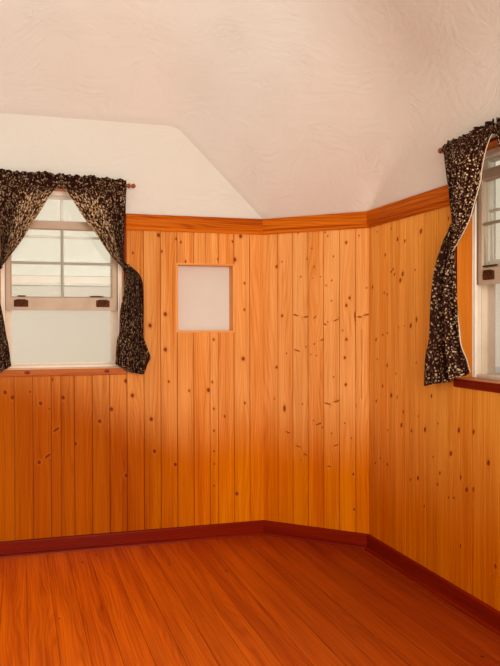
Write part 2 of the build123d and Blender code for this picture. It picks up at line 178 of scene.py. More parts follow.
class Finish:
    """A material in the making, or the shading of the world."""

    def __init__(self, name, world=None):
        self.owner = world or bpy.data.materials.new(name)
        self.owner.use_nodes = True
        self.tree = self.owner.node_tree
        self.tree.nodes.clear()

    def node(self, kind, settings=None, inputs=None, output=0):
        """Adds a node: its settings first, then its sockets' values or links. Gives one output."""
        made = self.tree.nodes.new(kind)
        for name, setting in (settings or {}).items():
            if name == "stops":
                self.set_stops(made.color_ramp, setting)
            else:
                setattr(made, name, setting)
        for name, given in (inputs or {}).items():
            if isinstance(given, Value):
                self.tree.links.new(given.socket, made.inputs[name])
            elif given is not None:
                made.inputs[name].default_value = given
        return Value(self, made.outputs[output])

    def set_stops(self, ramp, stops):
        while len(ramp.elements) < len(stops):
            ramp.elements.new(1.0)
        for element, (position, colour) in zip(ramp.elements, stops):
            element.position = position
            element.color = (*colour, 1.0)

    def place(self):
        return self.node("ShaderNodeTexCoord", output="Object")

    def attribute(self, name, output="Vector"):
        return self.node("ShaderNodeAttribute", {"attribute_name": name}, output=output)

    def split(self, vector):
        made = self.node("ShaderNodeSeparateXYZ", inputs={0: vector}).socket.node
        return [Value(self, socket) for socket in made.outputs]

    def join(self, x=0.0, y=0.0, z=0.0):
        return self.node("ShaderNodeCombineXYZ", inputs={0: x, 1: y, 2: z})

    def cloud(self, place, scale=1.0, detail=2.0, roughness=0.5, output="Fac"):
        inputs = {"Vector": place, "Scale": scale, "Detail": detail, "Roughness": roughness}
        return self.node("ShaderNodeTexNoise", inputs=inputs, output=output)

    def ramp(self, value, *stops):
        return self.node("ShaderNodeValToRGB", {"stops": stops}, {"Fac": value})

    def blend(self, share, first, second, way="MIX"):
        """Mixes two colours, given as three numbers or links."""
        settings = {"data_type": "RGBA", "blend_type": way}
        colours = [(*c, 1.0) if isinstance(c, tuple) else c for c in (first, second)]
        return self.node("ShaderNodeMix", settings, {0: share, 6: colours[0], 7: colours[1]}, 2)

    def mix(self, share, first, second):
        return self.node("ShaderNodeMix", None, {0: share, 2: first, 3: second})

    def bump(self, height, strength, distance):
        inputs = {"Height": height, "Strength": strength, "Distance": distance}
        return self.node("ShaderNodeBump", inputs=inputs)

    def surface(self, **sockets):
        """The principled shader, its sockets named with spaces as underscores."""
        inputs = {name.replace("_", " "): given for name, given in sockets.items()}
        return self.node("ShaderNodeBsdfPrincipled", inputs=inputs)

    def finished(self, shader, output="ShaderNodeOutputMaterial"):
        self.tree.links.new(shader.socket, self.tree.nodes.new(output).inputs["Surface"])
        return self.owner


# Woods

# How much higher painted shade darkens the wood far along a wall, and between which distances that starts
FAR_SHADE_LIFT = 0.42
FAR_SHADE_LIFT_FROM = 0.3
FAR_SHADE_LIFT_TO = 1.6


def timber(name, grain, across, pale, dark, boards=False, level=None, marks=(), **look):
    """Wood whose grain runs one way. Boards carry their own tone and knots as attributes.

    level is a pair of heights, outside which the grain lies across instead, as at the head
    and foot of a box. marks are knots of a single piece: (along, across, half length, half
    width). look may set contrast, ring_pitch, roughness, coat, relief, tone, heart, shine and
    joint, which sets how dark the grooves between boards are, a darker stain with painted shade.
    deepening holds the heights where painted shade starts to darken the wood and
    is darkest, and deep the share of its colour left there. far gives a direction, the
    two places along it between which that share changes, and the share beyond them, where the
    painted shade also reaches higher up. front is where a darker front edge of painted shade
    ends, and crown where a paler top of painted highlight starts. drift gives
    a direction, the two places between which the colour changes along it as painted shade and
    light, and the share kept.
    """
    finish = Finish(name)
    place = finish.place()
    u = place.dot(across)
    v = place.dot(grain)
    w = place.dot(grain.cross(across))
    if level:
        height = place.dot(UP)
        lying = (height < level[0]).at_least(height > level[1])
        u, v = finish.mix(lying, u, v), finish.mix(lying, v, u)
    shift = finish.attribute("board", "Fac") if boards else 0.37
    ring_u = u
    if boards:
        knot_u, knot_v, slant = finish.split(finish.attribute("knot"))
        half_u, half_v, knotted = finish.split(finish.attribute("knot_size"))
        board_u, board_v, depth = finish.split(finish.attribute("plank"))
        du = board_u - knot_u
        dv = board_v - knot_v - slant * du
        spread = ((du / half_u) ** 2.0 + (dv / half_v) ** 2.0 * 0.10) * -0.25
        ring_u = u - du * (2.718 ** spread)
        wobble = finish.cloud(place, 160.0, 1.0) * 0.3 + 0.85
        knot_at = ((du / half_u) ** 2.0 + (dv / half_v) ** 2.0).root() * wobble
    here = finish.join(ring_u, v, w + shift * 9.0)
    wander = finish.cloud(here * (6.0, 0.7, 6.0), 1.0, 2.0)
    pitch = look.get("ring_pitch", 0.016)
    rings = ((ring_u / pitch + wander * 13.0 + shift * 5.0) * WHOLE_TURN).sine() * 0.5 + 0.5
    streaks = finish.cloud(here * (62.0, 1.5, 62.0), 1.0, 3.0, 0.6)
    broad = finish.cloud(here * (13.0, 0.8, 13.0), 1.0, 2.0)
    fibres = finish.cloud(here * (900.0, 14.0, 900.0), 1.0, 2.0)
    late = rings ** 2.0 * 0.24 + (streaks - 0.5) * 1.2 + (broad - 0.5) * 1.3 + (shift - 0.5) * 0.35
    shade = (late * look.get("contrast", 1.0) + 0.36).at_least(0.0).at_most(1.0)
    colour = finish.blend(shade, pale, dark)
    tone = (shift - 0.5) * look.get("tone", 0.14) + (fibres - 0.5) * 0.10 + 1.0
    colour = colour * finish.join(tone, tone, tone)
    relief = fibres * 0.4 + streaks * 0.6
    rough = look.get("roughness", 0.45) + (streaks - 0.5) * 0.12
    # Painted shade: the wood darkens towards the floor, and far along a wall it also reaches higher up.
    if "deepening" in look:
        uneven = finish.cloud(place * (1.0, 1.0, 0.5), 3.0, 2.0) - 0.5
        height = place.dot(UP) + uneven * 0.25
        deep = colour * look.get("deep", (0.80, 0.50, 0.02))
        if "far" in look:
            direction, near, far, far_shade = look["far"]
            far_shade_share = place.dot(direction).rise(near, far)
            deep = finish.blend(far_shade_share, deep, colour * far_shade)
            lift_from, lift_to = near + FAR_SHADE_LIFT_FROM, near + FAR_SHADE_LIFT_TO
            height = height - place.dot(direction).rise(lift_from, lift_to) * FAR_SHADE_LIFT
        start, end = look["deepening"]
        colour = finish.blend(height.rise(floor_level + start, floor_level + end), colour, deep)
    heart = look.get("heart", (0.165, 0.008, 0.003))
    if boards:
        core = knot_at.rise(1.12, 0.80) * knotted
        halo = knot_at.rise(2.6, 0.9) * knotted
        rim = knot_at.rise(0.55, 0.95)
        colour = finish.blend(halo * 0.45, colour, dark)
        colour = finish.blend(core * (0.80 + rim * 0.18), colour, heart)
        # The grooves between boards darken: a darker stain there, with painted shade in them too.
        depth_share = depth.rise(0.0001, 0.0020)
        fading = finish.cloud(finish.join(shift * 40.0, v * 1.1, 0.0), 1.0, 2.0).rise(0.3, 0.62)
        groove_stain_and_shade = depth_share * (fading * 0.75 + 0.25) * look.get("joint", 0.8)
        colour = finish.blend(groove_stain_and_shade, colour, colour * (0.42, 0.26, 0.14))
        relief = relief + core * 0.7
    # Painted shade and light: the colour changes along a direction, as the light falls.
    if "drift" in look:
        direction, near, far, share_kept = look["drift"]
        drift = place.dot(direction).rise(near, far)
        colour = finish.blend(drift, colour, colour * share_kept)
    # Painted shade: a darker front edge, where the jamb meets the wall boards.
    if "front" in look:
        direction, distance, edge_shade = look["front"]
        colour = finish.blend(place.dot(direction) < distance, colour, edge_shade)
    # Painted highlight: a paler top.
    if "crown" in look:
        crown_from, crown_colour = look["crown"]
        colour = finish.blend(place.dot(UP).rise(crown_from, crown_from + 0.004), colour, crown_colour)
    for along, side, half_length, half_width in marks:
        reach = ((v - along) / half_length) ** 2.0 + ((u - side) / half_width) ** 2.0
        core = (reach + (streaks - 0.5) * 1.2).rise(1.4, 0.5)
        colour = finish.blend(core * 0.85, colour, heart)
    normal = finish.bump(relief, look.get("relief", 0.10), 0.001)
    shader = finish.surface(Base_Color=colour, Roughness=rough, Normal=normal,
                            Specular_IOR_Level=look.get("shine", 0.02),
                            Coat_Weight=look.get("coat", 0.0), Coat_Roughness=0.25)
    return finish.finished(shader)


LEFT_PALE, LEFT_DARK = (0.90, 0.375, 0.100), (0.58, 0.155, 0.014)
CORNER_PALE, CORNER_DARK = (0.88, 0.375, 0.105), (0.60, 0.170, 0.020)
RIGHT_PALE, RIGHT_DARK = (1.0, 0.430, 0.085), (0.66, 0.195, 0.014)
RAIL_PALE, RAIL_DARK = (0.65, 0.148, 0.006), (0.30, 0.036, 0.001)
SKIRTING_PALE, SKIRTING_DARK = (0.23, 0.011, 0.001), (0.12, 0.004, 0.0005)
FLOOR_PALE, FLOOR_DARK = (0.90, 0.160, 0.002), (0.42, 0.042, 0.001)
SILL_PALE, SILL_DARK = (0.56, 0.155, 0.030), (0.34, 0.062, 0.008)
# A darker copy of the sill wood for the right window: painted shade.
SHADED_SILL_PALE, SHADED_SILL_DARK = (0.22, 0.016, 0.003), (0.12, 0.006, 0.001)
JAMB_PALE, JAMB_DARK = (0.72, 0.225, 0.022), (0.50, 0.105, 0.006)
# A paler copy of the jamb wood for the left window: painted light.
LIT_JAMB_PALE, LIT_JAMB_DARK = (0.70, 0.40, 0.18), (0.48, 0.22, 0.07)
# Front edge of the jambs, darker as painted shade.
SHADED_JAMB_EDGE = (0.22, 0.022, 0.002)
NICHE_PALE, NICHE_DARK = (0.92, 0.400, 0.120), (0.62, 0.200, 0.035)
ROD_PALE, ROD_DARK = (0.36, 0.070, 0.012), (0.18, 0.024, 0.004)
SAWN_PALE, SAWN_DARK = (0.62, 0.40, 0.19), (0.42, 0.23, 0.09)
OUTSIDE_PALE, OUTSIDE_DARK = (0.46, 0.20, 0.065), (0.26, 0.088, 0.024)
ROOF_PALE, ROOF_DARK = (0.24, 0.135, 0.075), (0.12, 0.062, 0.033)


left_wall_at = left.start.dot(left.outward)
right_wall_at = right.start.dot(right.outward)


def plaster(name, colour, shade, depth=0.55):
    """Trowelled plaster: broad soft patches, curved trowel marks and fine grit.

    Painted shade makes it a little deeper towards the right wall and on the left one, and a
    painted lighter band runs right along the right wall. depth is how far the marks stand out.
    """
    finish = Finish(name)
    place = finish.place()
    patches = finish.cloud(place, 1.7, 2.0)
    warped = place + (finish.cloud(place, 2.6, 1.0, output="Color") - 0.5) * 0.5
    sweeps = finish.cloud(warped * (1.0, 1.0, 2.8), 9.0, 3.0, 0.6)
    ridges = (finish.cloud(warped * (2.0, 2.0, 5.0), 11.0, 1.0) - 0.5).size().rise(0.05, 0.0)
    ridges = ridges * finish.cloud(place, 3.1, 1.0).rise(0.55, 0.68)
    grit = finish.cloud(place, 260.0, 2.0)
    tint = (patches - 0.4) * 1.4 + (sweeps - 0.5) * 0.5
    base = finish.blend(tint.at_least(0.0).at_most(1.0), colour, shade)
    # Painted shade towards the right wall and on the left one, and a painted lighter band right at the
    # right wall.
    shade_to_right = place.dot(right.outward).rise(right_wall_at - 0.75, right_wall_at - 0.1)
    base = finish.blend(shade_to_right, base, base * (0.91, 0.85, 0.80))
    light_at_right = place.dot(right.outward).rise(right_wall_at - 0.12, right_wall_at)
    base = finish.blend(light_at_right, base, base * (1.10, 1.12, 1.13))
    shade_at_left = place.dot(left.outward).rise(left_wall_at - 0.05, left_wall_at)
    base = finish.blend(shade_at_left, base, base * (0.93, 0.945, 0.925))
    relief = sweeps * 0.75 + ridges * 0.22 + patches * 0.8 + grit * 0.04
    normal = finish.bump(relief, depth, 0.012)
    shader = finish.surface(Base_Color=base, Roughness=0.92 - grit * 0.1, Normal=normal,
                            Specular_IOR_Level=0.15)
    return finish.finished(shader)


def vinyl(name, colour, grimy, bars=None):
    """Window profile: pale, softly shiny, a little grimy.

    bars is for a sash: the box of its glazing bars and their colour, a grey of painted shade.
    """
    finish = Finish(name)
    place = finish.place()
    grime = finish.cloud(place, 9.0, 4.0, 0.6)
    base = finish.blend(grime.rise(0.42, 0.8) * 0.6, colour, grimy)
    if bars:
        low, high, bar_colour = bars
        x, y, z = finish.split(place)
        inside = (x > low.x) * (x < high.x) * (y > low.y) * (y < high.y) * (z > low.z) * (z < high.z)
        base = finish.blend(inside, base, bar_colour)
    normal = finish.bump(finish.cloud(place, 420.0, 2.0), 0.05, 0.001)
    shader = finish.surface(Base_Color=base, Roughness=0.32 + grime * 0.15, Normal=normal,
                            Specular_IOR_Level=0.3)
    return finish.finished(shader)


def window_glass(name):
    """Clear glass: see-through face on, mirror-like at a glance, with a little dust."""
    finish = Finish(name)
    place = finish.place()
    facing = finish.node("ShaderNodeLayerWeight", inputs={"Blend": 0.2}, output="Fresnel")
    dust = finish.cloud(place, 14.0, 4.0, 0.6).rise(0.45, 0.9) * 0.03
    clear = finish.node("ShaderNodeBsdfTransparent", inputs={"Color": (0.99, 0.995, 0.985, 1.0)})
    shine = finish.node("ShaderNodeBsdfGlossy", inputs={"Roughness": 0.03})
    film = finish.node("ShaderNodeBsdfDiffuse", inputs={"Color": (0.8, 0.77, 0.7, 1.0)})
    pane = finish.node("ShaderNodeMixShader", inputs={0: facing * 0.10 + 0.002, 1: clear, 2: shine})
    return finish.finished(finish.node("ShaderNodeMixShader", inputs={0: dust, 1: pane, 2: film}))


FRAME_WHITE, FRAME_GRIME = (0.88, 0.73, 0.56), (0.74, 0.56, 0.39)
# A paler copy of the frame vinyl for the stops: painted highlight where their ridges catch the light.
LIT_STOP_WHITE, LIT_STOP_GRIME = (0.94, 0.82, 0.64), (0.80, 0.64, 0.46)
# Darker copies of the vinyl for the inner sashes: painted shade, deeper on the left one.
SHADED_LEFT_SASH, SHADED_LEFT_SASH_GRIME = (0.51, 0.335, 0.195), (0.40, 0.245, 0.13)
SHADED_RIGHT_SASH, SHADED_RIGHT_SASH_GRIME = (0.62, 0.46, 0.31), (0.48, 0.32, 0.19)
# A slightly paler copy of the vinyl for the outer sashes: painted light.
LIT_OUTER_WHITE, LIT_OUTER_GRIME = (0.84, 0.76, 0.62), (0.74, 0.63, 0.48)
# Grey of the glazing bars and the screen's bar: painted shade of bars seen against the light.
SHADED_BAR_GREY = (0.36, 0.31, 0.21)
MESH_BROWN = (0.46, 0.33, 0.22)

SCREEN_BAR = 0.006
SCREEN_STILE = 0.046
SCREEN_RAIL = 0.012
BAR_BELOW_SASH = 0.009
JAMB_BOARD = 0.015


def insect_screen(name, wall, low, high, head):
    """Fine mesh below a thin bar, open above it, inside a white border.

    low and high are two corners of the opening, and head is the height of the bar.
    """
    finish = Finish(name)
    place = finish.place()
    u = place.dot(wall.along)
    z = place.dot(UP)
    pitch, wire = 0.0016, 0.11
    across = (u / pitch).fraction() < wire
    up = (z / pitch).fraction() < wire
    mesh = across.at_least(up) * (z < head)
    bar = (z > head - SCREEN_BAR) * (z < head)
    inside = (u > low[0]) * (u < high[0]) * (z > low[1]) * (z < high[1])
    solid = (1.0 - inside).at_least(mesh).at_least(bar)
    grime = finish.cloud(place, 30.0, 3.0)
    border = finish.blend(grime, FRAME_WHITE, FRAME_GRIME)
    base = finish.blend(inside * (1.0 - bar), border, MESH_BROWN)
    # The bar is a grey of painted shade.
    base = finish.blend(inside * bar, base, SHADED_BAR_GREY)
    skin = finish.surface(Base_Color=base, Roughness=0.4 + grime * 0.2, Specular_IOR_Level=0.3)
    clear = finish.node("ShaderNodeBsdfTransparent")
    return finish.finished(finish.node("ShaderNodeMixShader", inputs={0: solid, 1: clear, 2: skin}))


def moulded_brown(name):
    finish = Finish(name)
    place = finish.place()
    wear = finish.cloud(place, 70.0, 4.0, 0.6)
    base = finish.blend(wear.rise(0.4, 0.75) * 0.7, (0.070, 0.018, 0.005), (0.19, 0.075, 0.026))
    normal = finish.bump(finish.cloud(place, 900.0, 2.0), 0.08, 0.0005)
    shader = finish.surface(Base_Color=base, Roughness=0.5 + wear * 0.2, Normal=normal,
                            Specular_IOR_Level=0.04)
    return finish.finished(shader)


# Width of the unprinted edge, and lengths of cloth: over the rod, to the tie and to the hem
HEM_EDGE = 0.0070
HEADER_CLOTH = 0.142
FALL_CLOTH = 0.50
TAIL_CLOTH = 0.62


def printed_cotton(name, backlit_fuller, scale):
    """Dark cotton with small scattered flowers and leaves. Its window-side edge is unprinted.

    The print is dimmer in the gathers on the rod, as painted shade, and paler and fuller where
    the cloth hangs clear in front of the glass, as painted light shining through it.
    """
    finish = Finish(name)
    cloth = finish.attribute("cloth")
    x, y = finish.split(cloth)[:2]
    warped = cloth + (finish.cloud(cloth, 190.0, 2.0, output="Color") - 0.5) * 0.0035
    # Painted light and shade: the print is paler and fuller where the cloth hangs clear before the glass
    # and towards the tail's inner edge, and dim in the gathers on the rod.
    inner = x.rise(0.46, 0.20)
    hanging = y.rise(HEADER_CLOTH + 0.01, HEADER_CLOTH + 0.10) * y.rise(0.68, 0.58)
    clear = hanging * inner

    def motifs(pitch, reach, offset):
        inputs = {"Vector": warped + (offset, offset, 0.0), "Randomness": 1.0}
        inputs["Scale"] = 1.0 / (pitch * scale)
        cell = finish.node("ShaderNodeTexVoronoi", None, inputs, "Distance").socket.node
        distance, pick = Value(finish, cell.outputs["Distance"]), Value(finish, cell.outputs["Color"])
        return (distance - clear * backlit_fuller).rise(reach + 0.07, reach - 0.07), finish.split(pick)[0]

    ground = finish.blend(finish.cloud(cloth, 45.0, 2.0), (0.016, 0.003, 0.0018), (0.040, 0.010, 0.005))
    leaves, leaf_pick = motifs(0.0135, 0.31, 0.031)
    leaf = finish.ramp(leaf_pick, (0.0, (0.26, 0.135, 0.040)), (0.35, (0.07, 0.034, 0.013)),
                       (0.6, (0.18, 0.062, 0.038)), (1.0, (0.42, 0.25, 0.10)))
    flowers, flower_pick = motifs(0.0150, 0.31, 0.0)
    flower = finish.ramp(flower_pick, (0.0, (0.74, 0.49, 0.27)), (0.4, (0.46, 0.265, 0.095)),
                         (0.7, (0.78, 0.56, 0.36)), (1.0, (0.36, 0.18, 0.11)))
    strength = clear * 0.48 + hanging * 0.22 + y.rise(0.64, 0.72) * (inner * 0.28 + 0.03) + 0.55
    strength = finish.join(strength, strength, strength)
    base = finish.blend(leaves * 0.85, ground * (strength * 0.5 + 0.5), leaf * strength)
    base = finish.blend(flowers * 0.95, base, flower * strength)
    base = finish.blend((x < HEM_EDGE) * (y > HEADER_CLOTH), base, (0.62, 0.45, 0.30))
    pitch = 0.0011
    weave = (x * (WHOLE_TURN / pitch)).sine() * (y * (WHOLE_TURN / pitch)).sine()
    normal = finish.bump(weave, 0.15, 0.0003)
    shader = finish.surface(Base_Color=base, Roughness=0.9 - flowers * 0.05, Normal=normal,
                            Specular_IOR_Level=0.06)
    return finish.finished(shader)


# Making pieces

def piece(name, mesh, material, slot, *replaced):
    """A new piece of the object, on the one body that the object has."""
    made = bpy.data.objects.new(name, mesh)
    bpy.context.scene.collection.objects.link(made)
    mesh.materials.append(material)
    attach(made, "root")
    if replaced:
        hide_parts(*replaced)
    return made


def dress(material, *names):
    """Gives CAD nodes a finish."""
    for name in names:
        nodes[name].data.materials.clear()
        nodes[name].data.materials.append(material)


def solid_of(node):
    """A CAD node's mesh, closed, as a bmesh."""
    solid = bmesh.new()
    solid.from_mesh(nodes[node].data)
    bmesh.ops.remove_doubles(solid, verts=solid.verts[:], dist=1e-5)
    return solid


def mesh_of(made, name, soft=0):
    """The mesh of a finished bmesh, smooth over edges that bend by less than soft degrees."""
    mesh = bpy.data.meshes.new(name)
    made.to_mesh(mesh)
    made.free()
    if soft:
        mesh.shade_smooth()
        if soft < 180:
            mesh.set_sharp_from_angle(angle=math.radians(soft))
    return mesh


def extruded(mesh, rings):
    """A closed bar from one ring of points to the next, with flat ends."""
    rings = [[mesh.verts.new(point) for point in ring] for ring in rings]
    count = len(rings[0])
    for i in range(count):
        j = (i + 1) % count
        mesh.faces.new((rings[0][i], rings[0][j], rings[1][j], rings[1][i]))
    for ring in rings:
        mesh.faces.new(ring)


def cut(solid, point, normal, keep=None):
    """Cuts through a solid. keep "behind" or "ahead" of the plane closes what is left."""
    everything = solid.verts[:] + solid.edges[:] + solid.faces[:]
    bmesh.ops.bisect_plane(
        solid, geom=everything, dist=1e-6, plane_co=point, plane_no=normal,
        clear_outer=keep == "behind", clear_inner=keep == "ahead",
    )
    if keep:
        rims = [edge for edge in solid.edges if edge.is_boundary]
        bmesh.ops.holes_fill(solid, edges=rims)


BOARD_GAP = 0.0006
BOARD_CHAMFER = 0.0028


def one_board(node, side, span, rise, chamfer):
    """The part of a CAD slab that one board takes, its long visible edges chamfered."""
    board = solid_of(node)
    cut(board, side.plane(side.across, span[0] + BOARD_GAP), side.across, "ahead")
    cut(board, side.plane(side.across, span[1] - BOARD_GAP), side.across, "behind")
    if rise:
        cut(board, side.plane(side.along, rise[0]), side.along, "ahead")
        cut(board, side.plane(side.along, rise[1]), side.along, "behind")
    if not board.faces:
        return board
    bmesh.ops.dissolve_limit(board, angle_limit=0.01, verts=board.verts[:], edges=board.edges[:])
    face = min(side.place(vertex.co)[2] for vertex in board.verts)
    edges = []
    for edge in board.edges:
        ends = [side.place(vertex.co) for vertex in edge.verts]
        on_face = all(abs(end[2] - face) < 1e-5 for end in ends)
        for line in (span[0] + BOARD_GAP, span[1] - BOARD_GAP):
            if on_face and all(abs(end[0] - line) < 1e-4 for end in ends):
                edges.append(edge)
    if edges:
        bmesh.ops.bevel(board, geom=edges, offset=chamfer, segments=1, affect="EDGES")
    return board


NO_KNOT = (-9.0, -9.0, 0.0, 0.01, 0.01)


def boarded(name, node, side, boards, knots, material, slot, chamfer=BOARD_CHAMFER):
    """Joins boards cut from a CAD slab into one piece that replaces it.

    boards holds (span across, span along or None). knots holds (u, v, slant, half width,
    half height). Each board is divided between its knots, so that every face knows one knot.
    """
    joined = bmesh.new()
    tone = joined.faces.layers.float.new("board")
    knot_place = joined.faces.layers.float_vector.new("knot")
    knot_size = joined.faces.layers.float_vector.new("knot_size")
    dice = random.Random(name)
    for span, rise in boards:
        board = one_board(node, side, span, rise, chamfer)
        here = [k for k in knots if span[0] <= k[0] < span[1] and (not rise or rise[0] <= k[1] < rise[1])]
        here.sort(key=lambda k: k[1])
        for below, above in zip(here, here[1:]):
            cut(board, side.plane(side.along, (below[1] + above[1]) / 2), side.along)
        own_tone = dice.random()
        copies = {}
        for face in board.faces:
            for vertex in face.verts:
                if vertex not in copies:
                    copies[vertex] = joined.verts.new(vertex.co)
            made = joined.faces.new([copies[vertex] for vertex in face.verts])
            height = side.place(face.calc_center_median())[1]
            knot = min(here, key=lambda k: abs(k[1] - height)) if here else NO_KNOT
            made[tone] = own_tone
            made[knot_place] = knot[:3]
            made[knot_size] = (knot[3], knot[4], 1.0 if here else 0.0)
        board.free()
    plank = joined.verts.layers.float_vector.new("plank")
    face = min(side.place(vertex.co)[2] for vertex in joined.verts)
    for vertex in joined.verts:
        across, along, depth = side.place(vertex.co)
        vertex[plank] = (across, along, depth - face)
    joined.normal_update()
    return piece(name, mesh_of(joined, name), material, slot, node)


def spans(widths, cover, end, start=0.0):
    """Spans of boards laid side by side from a start: given widths first, then one cover."""
    made = []
    at = start
    widths = list(widths)
    while at < end - 1e-4:
        width = widths.pop(0) if widths else cover
        made.append((at, min(at + width, end)))
        at += width
    return made


def scattered_knots(seed, boards, height, spacing, sizes, upright=1.3):
    """Random knots along each board: (u, v, slant, half width, half height)."""
    dice = random.Random(seed)
    made = []
    for span, _ in boards:
        at = height[0] + dice.uniform(0.2, 1.0) * spacing
        while at < height[1]:
            half = dice.uniform(*sizes)
            inset = min(half * 1.6, (span[1] - span[0]) * 0.4)
            u = dice.uniform(span[0] + inset, span[1] - inset)
            made.append((u, at, dice.uniform(-0.3, 0.3), half, half * dice.uniform(0.9, upright)))
            at += dice.uniform(0.45, 1.6) * spacing
    return made


# Boards of the walls

BOARD_COVER = 0.105

niche_low, niche_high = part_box("niche_boards")
niche_foot = niche_low.z - floor_level
niche_head = niche_high.z - floor_level

# Left wall, from the inner corner: a ripped board, a narrow strip, and two more narrow boards
left_spans = spans([0.090, 0.106, 0.104, 0.054] + [BOARD_COVER] * 8 + [0.078, 0.057],
                   BOARD_COVER, left.length + 0.01)
BESIDE_NICHE = (0.196, 0.564)
OVER_NICHE = [0.101, 0.087, 0.074, 0.106]
left_spans[0] = (-0.05, left_spans[0][1])
left_boards = []
for span in left_spans:
    by_niche = BESIDE_NICHE[0] - 0.01 <= span[0] and span[1] <= BESIDE_NICHE[1] + 0.01
    left_boards.append((span, (-0.01, niche_foot) if by_niche else None))
for span in spans(OVER_NICHE, BOARD_COVER, BESIDE_NICHE[1], BESIDE_NICHE[0]):
    left_boards.append((span, (niche_head, RAIL_TOP)))

# Round dark knots of the left wall: distance from the inner corner and height
LEFT_KNOTS = (
    (0.365, 0.94), (0.73, 0.77), (0.71, 0.57), (0.58, 0.48), (0.18, 0.27), (0.735, 1.35),
    (0.135, 1.135), (0.19, 1.77), (0.64, 1.42), (0.846, 0.92), (0.885, 1.01), (0.887, 0.43),
    (0.974, 0.84), (0.68, 1.91), (0.15, 1.92), (0.64, 1.20), (1.19, 0.64), (1.55, 0.93),
    (1.59, 0.96), (1.39, 0.89), (1.26, 0.92), (1.045, 0.77), (1.40, 0.54),
)
LEFT_SMALL_KNOTS = (
    (0.62, 1.00), (0.49, 0.94), (0.26, 0.77), (0.125, 0.85), (0.57, 1.89), (0.54, 1.87),
    (0.205, 1.885), (0.66, 1.81), (0.84, 1.795), (0.125, 1.62), (0.126, 1.45), (0.30, 1.77),
    (0.51, 1.75), (1.34, 0.855), (1.45, 0.96), (1.32, 1.03), (0.33, 1.26), (0.33, 0.82),
    (0.33, 0.68), (0.33, 0.55), (0.33, 0.47), (0.33, 0.33), (0.34, 0.99),
)
LEFT_SLANTED_KNOTS = ((1.30, 0.73), (1.35, 0.575))
left_knots = [(u, v, 0.1, 0.0105, 0.0125) for u, v in LEFT_KNOTS]
left_knots += [(u, v, 0.2, 0.0055, 0.008) for u, v in LEFT_SMALL_KNOTS]
left_knots += [(u, v, -0.6, 0.018, 0.009) for u, v in LEFT_SLANTED_KNOTS]
unseen_left = [board for board in left_boards if board[0][0] > 1.6]
left_knots += scattered_knots("left", unseen_left, (0, 1.95), 0.42, (0.006, 0.012))

corner_spans = spans([], BOARD_COVER, corner.length)
corner_spans[0] = (-0.05, corner_spans[0][1])
corner_spans[-1] = (corner_spans[-1][0], corner.length + 0.05)
corner_boards = [(span, None) for span in corner_spans]
CORNER_KNOTS = (
    (0.097, 1.725), (0.096, 1.08), (0.136, 1.41), (0.57, 1.854), (0.592, 1.516), (0.571, 1.47),
    (0.571, 1.262), (0.56, 1.15), (0.566, 0.985), (0.615, 0.44), (0.62, 0.225),
)
# Streaky knots of the corner wall: place, slant and half length
CORNER_STREAKS = (
    (0.232, 1.413, -0.30, 0.019), (0.305, 1.402, 0.15, 0.020), (0.363, 1.399, 0.80, 0.009),
    (0.431, 1.355, -0.40, 0.010), (0.497, 1.377, 0.50, 0.024), (0.705, 1.413, 0.25, 0.028),
    (0.657, 1.399, -0.10, 0.015), (0.241, 1.190, -0.30, 0.018), (0.413, 1.259, 0.40, 0.013),
    (0.446, 0.863, -0.25, 0.020), (0.506, 0.880, 0.35, 0.020), (0.387, 0.733, 0.40, 0.021),
    (0.178, 0.667, -0.30, 0.016), (0.249, 0.583, -0.25, 0.016), (0.297, 0.535, -0.30, 0.014),
    (0.503, 0.608, 0.30, 0.016), (0.457, 0.474, -0.20, 0.014),
)
CORNER_DOTS = (
    (0.136, 1.754), (0.25, 1.93), (0.309, 1.765), (0.343, 1.83), (0.371, 1.83), (0.358, 1.714),
    (0.266, 1.655), (0.346, 1.646), (0.40, 1.648), (0.449, 1.90), (0.43, 1.925), (0.487, 1.773),
    (0.475, 1.626), (0.438, 1.595), (0.474, 1.50), (0.449, 1.37), (0.545, 1.316), (0.357, 1.232),
    (0.303, 1.214), (0.335, 1.165), (0.373, 1.16), (0.166, 1.170), (0.653, 1.892), (0.08, 0.877),
    (0.277, 0.852), (0.351, 0.753), (0.411, 0.713), (0.266, 0.499), (0.56, 0.748), (0.602, 0.659),
    (0.473, 0.68), (0.487, 1.03), (0.628, 1.38), (0.63, 0.871), (0.70, 1.574),
)
# Long dark knots and cracks of the corner wall: place, half width and half height
CORNER_UPRIGHT = (
    (0.152, 0.819, 0.009, 0.020), (0.625, 1.402, 0.0035, 0.030), (0.670, 1.25, 0.0014, 0.130),
    (0.668, 0.93, 0.0014, 0.150), (0.632, 0.870, 0.0035, 0.026),
)
corner_knots = [(u, v, 0.1, 0.0070, 0.0092) for u, v in CORNER_KNOTS]
corner_knots += [(u, v, slant, half, 0.0042) for u, v, slant, half in CORNER_STREAKS]
corner_knots += [(u, v, 0.1, 0.0040, 0.0050) for u, v in CORNER_DOTS]
corner_knots += [(u, v, 0.0, half, tall) for u, v, half, tall in CORNER_UPRIGHT]

